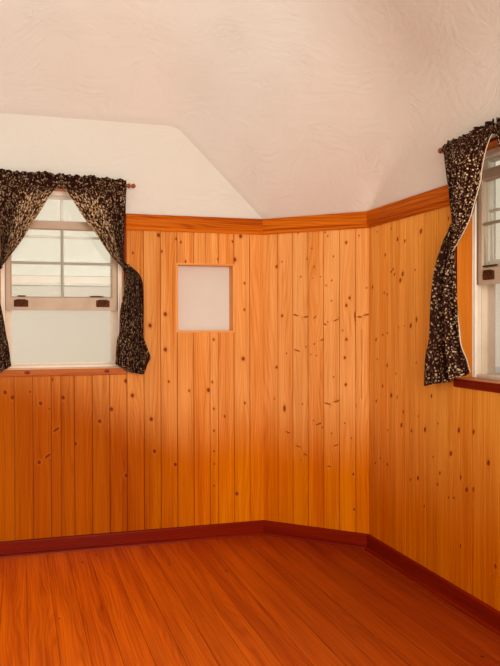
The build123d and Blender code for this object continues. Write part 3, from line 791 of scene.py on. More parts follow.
right_spans = spans([0.03], BOARD_COVER, right.length + 0.01)
right_spans[0] = (-0.05, right_spans[0][1])
right_boards = [(span, None) for span in right_spans]
RIGHT_KNOTS = (
    (0.612, 1.841), (0.355, 1.824), (0.416, 1.63), (0.389, 1.597), (0.563, 1.377), (0.504, 1.346),
    (0.283, 0.95), (0.402, 0.797), (0.655, 0.806), (1.087, 0.851), (0.97, 0.844), (0.898, 0.72),
    (0.98, 0.619), (1.034, 0.571), (1.085, 0.583), (0.582, 0.538), (0.236, 0.554), (0.978, 0.288),
)
RIGHT_SMALL_KNOTS = (
    (0.439, 1.81), (0.21, 1.753), (0.304, 1.662), (0.286, 1.653), (0.321, 1.634), (0.048, 1.575),
    (0.236, 1.53), (0.197, 1.532), (0.236, 1.3), (0.18, 1.296), (0.094, 1.264), (0.233, 1.118),
    (0.177, 0.995), (0.876, 1.871), (0.351, 0.945), (0.096, 0.9), (0.423, 0.872), (0.513, 0.78),
    (0.147, 0.57), (0.083, 0.531), (0.501, 0.515), (0.798, 0.606), (0.777, 0.545), (0.646, 0.405),
    (0.878, 0.502), (0.926, 0.507), (0.717, 0.986),
)
RIGHT_DOTS = (
    (0.109, 1.148), (0.551, 1.643), (0.286, 1.895), (0.11, 1.899), (0.368, 1.341), (0.435, 1.344),
    (0.563, 1.15), (0.337, 1.077), (0.582, 0.866), (0.779, 0.853), (0.239, 0.747), (0.193, 0.558),
    (0.135, 0.43), (0.734, 0.676),
)
right_knots = [(u, v, 0.3, 0.0115, 0.0120) for u, v in RIGHT_KNOTS]
right_knots += [(u, v, 0.3, 0.0075, 0.0085) for u, v in RIGHT_SMALL_KNOTS]
right_knots += [(u, v, 0.3, 0.0050, 0.0050) for u, v in RIGHT_DOTS]
unseen_right = [board for board in right_boards if board[0][0] > 1.15]
right_knots += scattered_knots("right", unseen_right, (0.05, 2.0), 0.42, (0.006, 0.012))

# Where the left and right wall start, measured away from the corner wall
left_from = -inner_corner.x
right_from = right.start.dot(right.along)
boarded("left_lining_boards", "left_wall_boards", left_side, left_boards, left_knots,
        timber("left_lining", UP, left.along, LEFT_PALE, LEFT_DARK, boards=True,
               # Painted shade: the boards darken towards the floor, more and higher up far from the
               # corner, and dull towards the far end.
               deepening=(0.94, 0.44), deep=(0.84, 0.54, 0.0), joint=0.55,
               far=(-left.along, left_from + 0.1, left_from + 0.9, (0.60, 0.32, 0.0)),
               drift=(-left.along, left_from + 0.35, left_from + 0.80, (0.88, 0.86, 0.82))),
        "left_wall_lining")
boarded("corner_lining_boards", "corner_wall_boards", corner_side, corner_boards, corner_knots,
        timber("corner_lining", UP, corner.along, CORNER_PALE, CORNER_DARK, boards=True,
               # Painted shade: the boards darken towards the floor.
               deepening=(0.98, 0.40), deep=(0.79, 0.47, 0.0), joint=0.6),
        "corner_wall_lining")
boarded("right_lining_boards", "right_wall_boards", right_side, right_boards, right_knots,
        timber("right_lining", UP, right.along, RIGHT_PALE, RIGHT_DARK, boards=True,
               # Painted shade: the boards darken towards the floor and dull further along the wall.
               deepening=(1.05, 0.22), deep=(0.72, 0.42, 0.0), joint=0.7,
               drift=(right.along, right_from + 0.35, right_from + 0.95, (0.89, 0.85, 0.62))),
        "right_wall_lining")


# Outside boards

OUTSIDE_COVER = 0.14


def outside_of(wall):
    """The wall's outside face: measured from its start, with the visible side outwards."""
    return Side(wall.start, wall.along, UP, -wall.outward)


for name, wall in (("left", left), ("corner", corner), ("right", right)):
    side = outside_of(wall)
    boards = [(span, None) for span in spans([], OUTSIDE_COVER, wall.length + 0.3, -0.3)]
    knots = scattered_knots(name + "_outside", boards, (-0.1, 2.6), 0.6, (0.005, 0.011))
    finish = timber(name + "_outside", UP, wall.along, OUTSIDE_PALE, OUTSIDE_DARK, boards=True,
                    roughness=0.6, relief=0.25)
    boarded(name + "_outside_boards", name + "_wall_cladding", side, boards, knots, finish,
            "outside_boards")


# Floor

FLOOR_COVER = 0.120
floor_low, floor_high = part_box("floor_boards")
floor_side = Side(Vector((floor_low.x, floor_low.y, floor_high.z)), Vector((1, 0, 0)),
                  Vector((0, 1, 0)), -UP)
floor_boards = [(span, None) for span in spans([0.07], FLOOR_COVER, floor_high.x - floor_low.x)]
floor_knots = scattered_knots("floor", floor_boards, (0, floor_high.y - floor_low.y), 3.5,
                              (0.003, 0.007))
boarded("stained_floor_boards", "floor_boards", floor_side, floor_boards, floor_knots,
        timber("stained_floor", Vector((0, 1, 0)), Vector((1, 0, 0)), FLOOR_PALE, FLOOR_DARK,
               boards=True, roughness=0.36, coat=0.12, shine=0.15, heart=(0.05, 0.004, 0.001),
               tone=0.16, joint=0.4,
               # Painted light and shade: the floor is lighter towards the left and darker towards the
               # right.
               drift=(Vector((1, 0, 0)), inner_corner.x - 1.5, right_start.x, (0.40, 0.27, 1.0))),
        "stained_floor", chamfer=0.0012)


# Roof courses

ROOF_COURSE = 0.15
ROOF_GROOVE = 0.006


def scored_roof():
    """The roof with level grooves between its courses, on the outside only."""
    roof = solid_of("roof")
    low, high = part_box("roof")
    heights = [low.z + ROOF_COURSE * step for step in range(1, 40)]
    heights = [z for z in heights if z < high.z - ROOF_COURSE / 2]
    for z in heights:
        for offset in (-ROOF_GROOVE, 0.0, ROOF_GROOVE):
            cut(roof, Vector((0, 0, z + offset)), UP)
    roof.normal_update()
    for vertex in roof.verts:
        if any(abs(vertex.co.z - z) < 1e-5 for z in heights):
            out = [face.normal for face in vertex.link_faces if face.normal.z > 0.3]
            if out:
                normal = sum(out, Vector()).normalized()
                vertex.co -= normal * ROOF_GROOVE
    finish = timber("roof_boards", left.along, UP, ROOF_PALE, ROOF_DARK, roughness=0.75, relief=0.4)
    piece("roof_courses", mesh_of(roof, "roof_courses"), finish, "roof_boards", "roof")


scored_roof()


# Quarter-round at the foot of the skirting

SKIRTING_DEPTH = 0.018
FOOT_BEAD = 0.017


def foot_bead(name, wall, finish):
    """A quarter-round along one wall, mitred in the corners."""
    bead = bmesh.new()
    rings = []
    for distance in (-0.05, wall.length + 0.05):
        ring = [wall.point(distance, 0.0, SKIRTING_DEPTH - 0.001)]
        for step in range(9):
            angle = math.pi / 16 * step
            into_room = SKIRTING_DEPTH + FOOT_BEAD * math.cos(angle)
            ring.append(wall.point(distance, FOOT_BEAD * math.sin(angle), into_room))
        ring.append(wall.point(distance, FOOT_BEAD, SKIRTING_DEPTH - 0.001))
        rings.append(ring)
    extruded(bead, rings)
    bmesh.ops.recalc_face_normals(bead, faces=bead.faces[:])
    if wall is left:
        cut(bead, wall.start, wall.along, "ahead")
    else:
        before = left if wall is corner else corner
        cut(bead, wall.start, before.along + wall.along, "ahead")
    if wall is right:
        cut(bead, wall.point(wall.length), wall.along, "behind")
    else:
        after = corner if wall is left else right
        cut(bead, after.start, wall.along + after.along, "behind")
    name += "_skirting_bead"
    piece(name, mesh_of(bead, name, 40), finish, "dark_skirting")


# Stops that hold the inner sashes in their tracks

SASH_STILE, SASH_FOOT, SASH_HEAD = 0.0575, 0.0845, 0.0545
RAIL_HEIGHT = 0.083
# Section of a stop: distance from the window's middle and depth into the wall
STOP_SECTION = (
    (0.3340, 0.0980), (0.3340, 0.0895), (0.3360, 0.0850), (0.3425, 0.0838), (0.3450, 0.0860),
    (0.3460, 0.0893), (0.3515, 0.0893), (0.3530, 0.0850), (0.3579, 0.0838), (0.3579, 0.0980),
)
HEAD_STOP = 0.028
# Clearance of the stops at the sill and the head
STOP_CLEAR = 0.0005
SEAL = (0.3285, 0.3345, 0.0925, 0.0985)
# Seal colours: brown seals, dark also as painted shade of the gap beside the sash; the paler one is wear.
SEAL_SHADE_BROWN, SEAL_WORN = (0.20, 0.10, 0.045), (0.30, 0.17, 0.09)


def window_stops(name, wall, centre, sill, head):
    """Moulded strips down both sides and along the head, and brown seals beside the sash, their brown
    also painted shade of the gap there.
    """
    stops, seals = bmesh.new(), bmesh.new()
    sash_low, sash_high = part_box(name + "_inner_sash")

    def at(q, depth, height):
        return wall.point(centre + q, height - floor_level, -depth)

    for hand in (-1, 1):
        extruded(stops, [[at(hand * q, depth, height) for q, depth in STOP_SECTION]
                         for height in (sill + STOP_CLEAR, head - STOP_CLEAR)])
        inner, outer, front, behind = SEAL
        ring = ((inner, behind), (inner, front), (outer, front), (outer, behind))
        extruded(seals, [[at(hand * q, depth, height) for q, depth in ring]
                         for height in (sash_low.z + 0.002, sash_high.z - 0.002)])
    side = STOP_SECTION[0][0] + 0.001
    top = head - STOP_CLEAR
    bar = ((top, 0.0980), (top, 0.0845), (head - HEAD_STOP + 0.004, 0.0850),
           (head - HEAD_STOP, 0.0890), (head - HEAD_STOP, 0.0980))
    extruded(stops, [[at(q, depth, height) for height, depth in bar] for q in (-side, side)])
    for mesh, finish, label, slot in (
        (stops, lit_stop_vinyl, "_window_stops", "white_vinyl"),
        (seals, seal_and_shade_brown, "_sash_seals", "brown_catch"),
    ):
        bmesh.ops.recalc_face_normals(mesh, faces=mesh.faces[:])
        piece(name + label, mesh_of(mesh, name + label), finish, slot)


# Latch arms on the foot rails of the inner sashes: both ends' distance from the window's middle
LATCH_ARMS = {
    "left": ((-0.262, -0.216), (0.165, 0.247)),
    "right": ((-0.290, -0.185), (0.165, 0.247)),
}
SASH_FACE, ARM_PROUD, ARM_THICK = 0.0988, 0.004, 0.012
ARM_HEIGHT = 0.007


def latch_arms(name, wall, centre, finish):
    """Flat bars that lie on the rail above the catches, their room side rounded."""
    arms = bmesh.new()
    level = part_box(name + "_inner_sash")[0].z + RAIL_HEIGHT - floor_level
    front = SASH_FACE - ARM_PROUD
    section = ((front + ARM_THICK, -0.0004), (front + 0.001, -0.0004), (front, ARM_HEIGHT * 0.3),
               (front + 0.001, ARM_HEIGHT * 0.9), (front + 0.003, ARM_HEIGHT),
               (front + ARM_THICK, ARM_HEIGHT))
    for ends in LATCH_ARMS[name]:
        extruded(arms, [[wall.point(centre + q, level + height, -depth) for depth, height in section]
                        for q in ends])
    bmesh.ops.recalc_face_normals(arms, faces=arms.faces[:])
    piece(name + "_latch_arms", mesh_of(arms, name + "_latch_arms"), finish, "brown_catch")


# Finishes of the CAD pieces

PLASTER, PLASTER_SHADE = (0.77, 0.67, 0.57), (0.71, 0.595, 0.49)
trowelled = plaster("ceiling_plaster", PLASTER, PLASTER_SHADE)
dress(trowelled, "ceiling", "left_wall_plaster", "right_wall_plaster")
dress(plaster("niche_plaster", PLASTER, PLASTER_SHADE, 0.15), "niche_back")

for name, wall in (("left", left), ("corner", corner), ("right", right)):
    dress(timber(name + "_rail", wall.along, UP, RAIL_PALE, RAIL_DARK, roughness=0.36,
                 contrast=1.5), name + "_rail")
    skirting_finish = timber(name + "_skirting", wall.along, UP, SKIRTING_PALE, SKIRTING_DARK,
                             roughness=0.34, coat=0.1)
    dress(skirting_finish, name + "_skirting")
    foot_bead(name, wall, skirting_finish)
    dress(timber(name + "_framing", UP, wall.along, SAWN_PALE, SAWN_DARK, roughness=0.75,
                 relief=0.3), name + "_wall_frame")

dress(timber("joists", Vector((0, 1, 0)), UP, SAWN_PALE, SAWN_DARK, roughness=0.8, relief=0.3),
      "floor_frame")
dress(timber("niche_lining", UP, left.along, NICHE_PALE, NICHE_DARK, contrast=0.8,
             level=(niche_low.z + 0.012, niche_high.z - 0.012)), "niche_boards")

frame_vinyl = vinyl("frame_vinyl", FRAME_WHITE, FRAME_GRIME)
lit_stop_vinyl = vinyl("lit_stop_vinyl", LIT_STOP_WHITE, LIT_STOP_GRIME)
lit_outer_vinyl = vinyl("lit_outer_vinyl", LIT_OUTER_WHITE, LIT_OUTER_GRIME)
seal_and_shade_brown = vinyl("seal_and_shade_brown", SEAL_SHADE_BROWN, SEAL_WORN)
clear_glass = window_glass("window_glass")
brown = moulded_brown("brown_catch")
cottons = {
    "left": printed_cotton("left_cotton", 0.13, 1.0),
    "right": printed_cotton("right_cotton", 0.0, 0.8),
}
for name, wall, sill_tones, sill_crown, sill_knots, jamb_tones, shaded_sash_tones in (
    ("left", left, (SILL_PALE, SILL_DARK), (0.80, 0.50, 0.28), (0.254, -0.21),
     (LIT_JAMB_PALE, LIT_JAMB_DARK), (SHADED_LEFT_SASH, SHADED_LEFT_SASH_GRIME)),
    ("right", right, (SHADED_SILL_PALE, SHADED_SILL_DARK), (0.60, 0.22, 0.09), (),
     (JAMB_PALE, JAMB_DARK), (SHADED_RIGHT_SASH, SHADED_RIGHT_SASH_GRIME)),
):
    jamb_low, jamb_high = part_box(name + "_window_jambs")
    middle = (jamb_low + jamb_high).dot(wall.along) / 2
    centre = middle - wall.start.dot(wall.along)
    head = jamb_high.z - JAMB_BOARD
    room_face = wall.start.dot(wall.outward) + 0.0008
    dress(timber(name + "_jamb", UP, wall.outward, *jamb_tones, contrast=0.7,
                 level=(0.0, head), front=(wall.outward, room_face, SHADED_JAMB_EDGE)),
          name + "_window_jambs")
    sill_middle = jamb_low.z - 0.023
    marks = [(middle + at, sill_middle, 0.017, 0.011) for at in sill_knots]
    # The sill's paler top is a painted highlight.
    dress(timber(name + "_sill", wall.along, UP, *sill_tones, roughness=0.4, coat=0.04, marks=marks,
                 crown=(jamb_low.z - 0.006, sill_crown)), name + "_window_sill")
    dress(frame_vinyl, name + "_window_frame")
    sash_low, sash_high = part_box(name + "_inner_sash")
    reach = Vector((abs(wall.along.x), abs(wall.along.y), 0)) * SASH_STILE
    bars = (sash_low + reach + UP * SASH_FOOT, sash_high - reach - UP * SASH_HEAD, SHADED_BAR_GREY)
    dress(vinyl(name + "_sash_vinyl", *shaded_sash_tones, bars), name + "_inner_sash")
    window_stops(name, wall, centre, jamb_low.z, head)
    dress(lit_outer_vinyl, name + "_outer_sash")
    dress(clear_glass, name + "_window_glass")
    dress(brown, name + "_sash_catches")
    latch_arms(name, wall, centre, brown)
    dress(timber(name + "_rod", wall.along, UP, ROD_PALE, ROD_DARK, roughness=0.35, shine=0.4),
          name + "_curtain_rod")
    low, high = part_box(name + "_window_screen")
    ends = sorted((low.dot(wall.along), high.dot(wall.along)))
    bar_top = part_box(name + "_outer_sash")[0].z - BAR_BELOW_SASH
    dress(insect_screen(name + "_screen", wall, (ends[0] + SCREEN_STILE, low.z + SCREEN_RAIL),
                        (ends[1] - SCREEN_STILE, high.z - SCREEN_RAIL), bar_top),
          name + "_window_screen")


# Plaster worked round where the ceiling slopes meet each other and the right gable

MAIN_PITCH = 45.0
CORNER_PITCH = 54.5
# How far the fill reaches past the faces it lies on
SKIN = 0.0004


class Face:
    """A flat face of the room: a slope that starts on a wall at a height, or the wall itself."""

    def __init__(self, wall, pitch, height=0.0):
        tilt = math.radians(pitch)
        self.normal = wall.outward * math.sin(tilt) + UP * math.cos(tilt)
        self.level = self.normal.dot(wall.point(0.0, height))

    def clearance(self, point):
        return self.level - self.normal.dot(point)

    def reached(self, start, direction):
        """How far a straight line from a start in the room goes to this face."""
        speed = self.normal.dot(direction)
        return self.clearance(start) / speed if speed > 1e-6 else 99.0


left_slope = Face(left, MAIN_PITCH, GABLE_TOP)
right_slope = Face(right, MAIN_PITCH, GABLE_TOP)
corner_slope = Face(corner, CORNER_PITCH, RAIL_TOP)
left_gable = Face(left, 90.0)
right_gable = Face(right, 90.0)
SLOPE_ROUNDING = 0.17
GABLE_ROUNDING = 0.22


def soft_least(first, second, reach):
    """The smaller of two numbers, eased where they lie within a reach of each other."""
    near = max(reach - abs(first - second), 0.0) / reach
    return min(first, second) - near * near * reach / 4


def rounded_clearance(point):
    from_gable = between(0.2, 1.0, smooth(left_gable.clearance(point), 0.0, 0.5))
    slopes = soft_least(left_slope.clearance(point), corner_slope.clearance(point),
                        SLOPE_ROUNDING * from_gable)
    slopes = soft_least(slopes, right_slope.clearance(point), SLOPE_ROUNDING)
    over_rail = smooth(point.z - floor_level, RAIL_TOP, RAIL_TOP + 0.45)
    reach = GABLE_ROUNDING * between(0.05, 1.0, over_rail)
    return soft_least(slopes, right_gable.clearance(point), reach)


def rounded_corners():
    """A thin fill of plaster over the creases, found along straight lines from inside the room."""
    ceiling_low, ceiling_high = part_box("ceiling")
    start = corner.point(corner.length / 2, 1.5, 1.1)
    faces = (left_slope, right_slope, corner_slope, right_gable)
    columns, rows = 230, 110
    fill = bmesh.new()
    grid = []
    for column in range(columns + 1):
        turn = math.radians(between(-95.0, 100.0, column / columns))
        level = corner.outward * math.cos(turn) + corner.along * math.sin(turn)
        line = []
        for row in range(rows + 1):
            rise = math.radians(between(14.0, 84.0, row / rows))
            direction = level * math.cos(rise) + UP * math.sin(rise)
            far = min(face.reached(start, direction) for face in faces)
            near = 0.0
            if rounded_clearance(start + direction * far) > -1e-5:
                near = far
            reach = far
            while reach - near > 1e-5:
                middle = (near + reach) / 2
                if rounded_clearance(start + direction * middle) > 0:
                    near = middle
                else:
                    reach = middle
            line.append((direction, near, far))
        grid.append(line)
    front, back = {}, {}

    def corner_at(made, key, extra):
        if key not in made:
            direction, near, far = grid[key[0]][key[1]]
            made[key] = fill.verts.new(start + direction * ((near if made is front else far) + extra))
        return made[key]

    kept = set()
    for i in range(columns):
        for j in range(rows):
            keys = ((i, j), (i + 1, j), (i + 1, j + 1), (i, j + 1))
            if max(grid[a][b][2] - grid[a][b][1] for a, b in keys) > 0.0003:
                kept.add((i, j))
    for i, j in kept:
        keys = ((i, j), (i + 1, j), (i + 1, j + 1), (i, j + 1))
        fill.faces.new([corner_at(front, key, -SKIN) for key in keys])
        fill.faces.new([corner_at(back, key, SKIN * 2) for key in reversed(keys)])
        for beside, (a, b) in (((i, j - 1), (0, 1)), ((i + 1, j), (1, 2)),
                               ((i, j + 1), (2, 3)), ((i - 1, j), (3, 0))):
            if beside not in kept:
                fill.faces.new([front[keys[b]], front[keys[a]], back[keys[a]], back[keys[b]]])
    bmesh.ops.recalc_face_normals(fill, faces=fill.faces[:])
    cut(fill, left.point(0.0, 0.0, -0.002), left.outward, "behind")
    cut(fill, Vector((0, 0, floor_level + RAIL_TOP - 0.002)), UP, "ahead")
    cut(fill, Vector((0, 0, ceiling_high.z - 0.0005)), UP, "behind")
    cut(fill, Vector((ceiling_low.x + 0.0005, 0, 0)), Vector((1, 0, 0)), "ahead")
    cut(fill, Vector((0, ceiling_low.y + 0.0005, 0)), Vector((0, 1, 0)), "ahead")
    piece("rounded_plaster", mesh_of(fill, "rounded_plaster", 35), trowelled, "plaster")


rounded_corners()


# Curtains

def along_line(points, share):
    """The point at a share of the length of a smooth line through points."""
    spans = [(after - before).length for before, after in zip(points, points[1:])]
    left_over = share * sum(spans)
    i = 0
    while i < len(spans) - 1 and left_over > spans[i]:
        left_over -= spans[i]
        i += 1
    t = left_over / spans[i]
    here, there = points[i], points[i + 1]
    before = points[i - 1] if i else here
    after = points[i + 2] if i + 2 < len(points) else there
    bend = (before * 2 - here * 5 + there * 4 - after) * t**2
    twist = (here * 3 - before - there * 3 + after) * t**3
    return here + ((there - before) * t + bend + twist) / 2


PLEATS = 9
PLEAT_CLOTH = 0.062
COLUMNS_EACH = 12
ROD_RADIUS = 0.010
BEAD_RADIUS = 0.015
HEADER = 0.035
POCKET = 0.026
CLOTH_GAP = 0.0045
NEAREST_WALL = 0.021
FOLD_LINE = 0.9


class Drape:
    """How a curtain hangs, by lines down the cloth from the rod to the tie and on to the hem.

    Points are (height over the sill, distance from the window's middle, distance off the wall).
    The corner line is the cloth's outer edge below the tie. The outer line is a fold before it.
    header holds the gathered top's two ends, rise how much higher each end stands, and valley
    the place and depth of a deep fold down the tail. tuck is how far its edge turns under.
    """

    def __init__(self, header, rise, inner, outer, tail_inner, tail_outer, tail_corner,
                 hem_drop=0.0, valley=(0.5, 0.0), print_shift=0.0, tuck=0.0):
        self.header = header
        self.rise = rise
        self.valley = valley
        self.print_shift = print_shift
        self.tuck = tuck
        self.fall = [self.line(inner), self.line(outer)]
        self.tail = [self.line(points) for points in (
            [inner[-1]] + tail_inner, [outer[-1]] + tail_outer, [outer[-1]] + tail_corner)]
        self.hem_drop = hem_drop

    def line(self, points):
        return [Vector((q, height, off)) for height, q, off in points]

    def fall_point(self, s, t):
        return along_line(self.fall[0], t).lerp(along_line(self.fall[1], t), s)

    def tail_point(self, s, t):
        inner, fold, edge = (along_line(points, t) for points in self.tail)
        if s > FOLD_LINE:
            return fold.lerp(edge, (s - FOLD_LINE) / (1 - FOLD_LINE))
        made = inner.lerp(fold, s / FOLD_LINE)
        made.y -= self.hem_drop * t * math.sin(math.pi * s / FOLD_LINE)
        return made


def curtain(name, wall, hand, drape, seed):
    """A curtain on its rod, tied back at the jamb. hand is 1 on the right, -1 on the left."""
    node = f"{name}_window_curtain_{'right' if hand > 0 else 'left'}"
    rod_low, rod_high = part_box(name + "_curtain_rod")
    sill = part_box(name + "_window_sill")[1].z - floor_level
    glass_low, glass_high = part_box(name + "_window_glass")
    centre = wall.distance((glass_low + glass_high) / 2)
    rod = (rod_low.z + rod_high.z) / 2 - floor_level
    reach = max((wall.start - corner_point).dot(wall.outward) for corner_point in (rod_low, rod_high))
    rod_off = reach - BEAD_RADIUS
    dice = Vector((seed * 7.31, seed * 3.17, 0.0))

    def ripple(s, t, size):
        return noise.noise(Vector((s * size, t, 0.0)) + dice)

    def wave(s, t):
        turns = s * PLEATS + 0.35 * ripple(s, t * 0.6, 6.0)
        uneven = 0.9 + 0.8 * ripple(s, t * 0.9 + 5.0, 8.0)
        return math.sin(2 * math.pi * turns) * uneven + 0.35 * ripple(s, t * 1.4 + 8.0, 30.0)

    def fold_depth(width):
        """Half the depth of a pleat that takes up its cloth within a width."""
        each = width / PLEATS
        return math.sqrt(max(PLEAT_CLOTH**2 - each**2, 0.0)) / 4

    def header_point(s, t):
        """Back of the pocket, up over the header and down the front, t from 0 to 1."""
        q = between(*drape.header, s) + 0.004 * ripple(s, t, 26.0) * smooth(s, 0.0, 0.08)
        tuft = wave(s, 0.3) + 1.3 * ripple(s, 4.0, 34.0)
        top = rod + HEADER + between(*drape.rise, s) + 0.012 * ripple(s, 2.0, 5.0)
        top += 0.007 * ripple(s, 6.0, 14.0) + 0.0015 * tuft
        wall_side = t < 0.5
        z = between(rod - POCKET, top, t * 2 if wall_side else 2 - t * 2)
        pocket_off = ROD_RADIUS + CLOTH_GAP + 0.003 * max(1 + wave(s, 0.1), 0)
        above = smooth(z, rod + 0.004, rod + 0.024)
        below = smooth(z, rod - 0.006, rod - 0.024)
        off = between(between(pocket_off, 0.004, below), 0.002, above)
        ruffle = above * 0.010 * tuft + below * 0.006 * wave(s, 0.2)
        lean = (0.004 + 0.005 * below) if below else 0.0
        return q, z, rod_off + (-off if wall_side else off) + ruffle + lean

    def fall_point(s, t):
        """From the pocket at t 0 to the tie at t 1."""
        place = drape.fall_point(s, t)
        width = (drape.fall_point(1, t) - drape.fall_point(0, t)).length
        depth = fold_depth(width) * between(between(0.45, 0.95, smooth(t, 0.0, 0.3)), 0.6, t**3)
        off = between(rod_off + 0.010, place.z, smooth(t, 0.0, 0.25))
        off += 0.012 * math.sin(math.pi * s) * math.sin(math.pi * t)
        return place.x + 0.004 * ripple(s, t * 3.0 + 9.0, 7.0), sill + place.y, off + depth * wave(s, t)

    def tail_point(s, t):
        """From the tie at t 0 to the hem at t 1."""
        place = drape.tail_point(s, t)
        width = (drape.tail_point(FOLD_LINE, t) - drape.tail_point(0, t)).length
        loose = smooth(t, 0.0, 0.35)
        broad = math.sin(2 * math.pi * (s * 2.6 + 0.2 * ripple(s, t * 0.5 + 2.0, 2.0) + 0.1 * seed))
        depth = fold_depth(width) * between(0.6, 0.85, loose) * wave(s, 1.0 + t)
        depth += 0.013 * loose * broad
        valley_at, valley_depth = drape.valley
        depth -= valley_depth * loose * math.exp(-((s - valley_at) / 0.09) ** 2)
        q = place.x + 0.005 * ripple(s, t * 3.0 + 3.0, 4.0) * (1 - abs(2 * s - 1))
        tuck = drape.tuck * smooth(s, 0.05, 0.0) * smooth(t, 0.0, 0.1) * smooth(t, 0.80, 0.62)
        return q + tuck, sill + place.y, place.z + depth - tuck

    stages = [(header_point, 24, HEADER_CLOTH), (fall_point, 44, FALL_CLOTH),
              (tail_point, 48, TAIL_CLOTH)]
    columns = PLEATS * COLUMNS_EACH + 1
    sheet = bmesh.new()
    cloth = sheet.verts.layers.float_vector.new("cloth")
    rows = []
    length = 0.0
    for point_at, count, run in stages:
        first = 0 if not rows else 1
        for step in range(first, count + 1):
            t = step / count
            row = []
            for column in range(columns):
                s = column / (columns - 1)
                q, z, off = point_at(s, t)
                vertex = sheet.verts.new(wall.point(centre + hand * q, z, max(off, NEAREST_WALL)))
                vertex[cloth] = (s * PLEATS * PLEAT_CLOTH + drape.print_shift, length + t * run, 0.0)
                row.append(vertex)
            rows.append(row)
        length += run
    for above, below in zip(rows, rows[1:]):
        for i in range(columns - 1):
            sheet.faces.new((above[i], above[i + 1], below[i + 1], below[i]))
    mesh = mesh_of(sheet, node + "_cloth", 180)
    made = piece(node + "_cloth", mesh, cottons[name], "printed_cotton", node)
    ends = [drape.fall_point(s, 1) for s in (0, 1)]
    band = tie_band(node + "_tie", lambda q, z, off: wall.point(centre + hand * q, sill + z, off), ends,
                    cottons[name])
    return made


TIE_WIDTH = 0.016
TIE_DEPTH = 0.026


def tie_band(name, place_of, ends, cotton):
    """A narrow band of the same cloth around the bundle, from one end of its waist to the other."""
    middle = (ends[0] + ends[1]) / 2
    reach = (ends[1] - ends[0]) / 2
    reach *= 1 + 0.005 / reach.length
    beside = Vector((reach.y, -reach.x, 0)).normalized()
    steps = 28
    band = bmesh.new()
    cloth = band.verts.layers.float_vector.new("cloth")
    rows = []
    for i in range(steps + 1):
        angle = math.pi * (-0.2 + 1.4 * i / steps)
        row = []
        for edge in range(5):
            across = TIE_WIDTH * (edge / 4 - 0.5)
            at = middle + reach * math.cos(angle) + beside * across
            off = middle.z + TIE_DEPTH * math.sin(angle) + 0.002 * math.cos(math.pi * across / TIE_WIDTH)
            vertex = band.verts.new(place_of(at.x, at.y, max(off, NEAREST_WALL - 0.001)))
            vertex[cloth] = (0.2 + i * 0.006, across, 0.0)
            row.append(vertex)
        rows.append(row)
    for before, after in zip(rows, rows[1:]):
        for j in range(4):
            band.faces.new((before[j], after[j], after[j + 1], before[j + 1]))
    return piece(name, mesh_of(band, name, 180), cotton, "printed_cotton")


# The left window's curtains, first the right one, then what differs in its neighbour
neat = dict(
    rise=(0.015, 0.000),
    inner=[(1.073, -0.010, 0.067), (1.050, 0.014, 0.066), (1.001, 0.047, 0.063), (0.882, 0.122, 0.056),
           (0.795, 0.190, 0.048), (0.690, 0.264, 0.042), (0.634, 0.317, 0.040), (0.590, 0.355, 0.040)],
    outer=[(1.073, 0.368, 0.067), (0.980, 0.363, 0.060), (0.850, 0.357, 0.052), (0.660, 0.354, 0.040),
           (0.620, 0.384, 0.038)],
    tail_inner=[(0.565, 0.366, 0.042), (0.514, 0.358, 0.046), (0.414, 0.342, 0.048),
                (0.324, 0.326, 0.050), (0.209, 0.321, 0.052), (0.167, 0.308, 0.052),
                (0.022, 0.298, 0.052)],
    tail_outer=[(0.591, 0.422, 0.042), (0.555, 0.452, 0.046), (0.502, 0.466, 0.052),
                (0.368, 0.468, 0.058), (0.212, 0.466, 0.062), (0.044, 0.467, 0.064),
                (-0.043, 0.466, 0.064)],
    tail_corner=[(0.591, 0.418, 0.036), (0.555, 0.449, 0.038), (0.502, 0.462, 0.040),
                 (0.368, 0.463, 0.042), (0.212, 0.466, 0.044), (0.130, 0.492, 0.046),
                 (0.057, 0.518, 0.048)],
    hem_drop=0.016,
    valley=(0.25, 0.015),
    print_shift=0.0045,
)
# The right window's curtains
loose = dict(
    rise=(0.006, -0.012),
    inner=[(1.073, -0.018, 0.069), (1.007, 0.025, 0.061), (0.925, 0.068, 0.052), (0.893, 0.079, 0.048),
           (0.799, 0.145, 0.042), (0.731, 0.194, 0.038), (0.641, 0.290, 0.036), (0.601, 0.346, 0.035)],
    outer=[(1.073, 0.360, 0.064), (0.944, 0.358, 0.050), (0.821, 0.350, 0.034), (0.735, 0.342, 0.028)],
    tail_inner=[(0.515, 0.318, 0.036), (0.419, 0.303, 0.038), (0.322, 0.278, 0.040),
                (0.175, 0.240, 0.042), (0.100, 0.190, 0.043), (0.039, 0.158, 0.044)],
    tail_outer=[(0.661, 0.418, 0.036), (0.587, 0.452, 0.045), (0.482, 0.472, 0.055),
                (0.361, 0.487, 0.062), (0.189, 0.503, 0.066), (0.091, 0.533, 0.070),
                (-0.055, 0.544, 0.072)],
    tail_corner=[(0.661, 0.418, 0.030), (0.587, 0.453, 0.036), (0.482, 0.474, 0.042),
                 (0.361, 0.491, 0.044), (0.189, 0.508, 0.046), (0.091, 0.539, 0.048),
                 (-0.045, 0.552, 0.050)],
    hem_drop=0.006,
    valley=(0.52, 0.030),
    tuck=0.016,
)
curtain("left", left, 1, Drape((-0.0125, 0.369), **neat), 1)
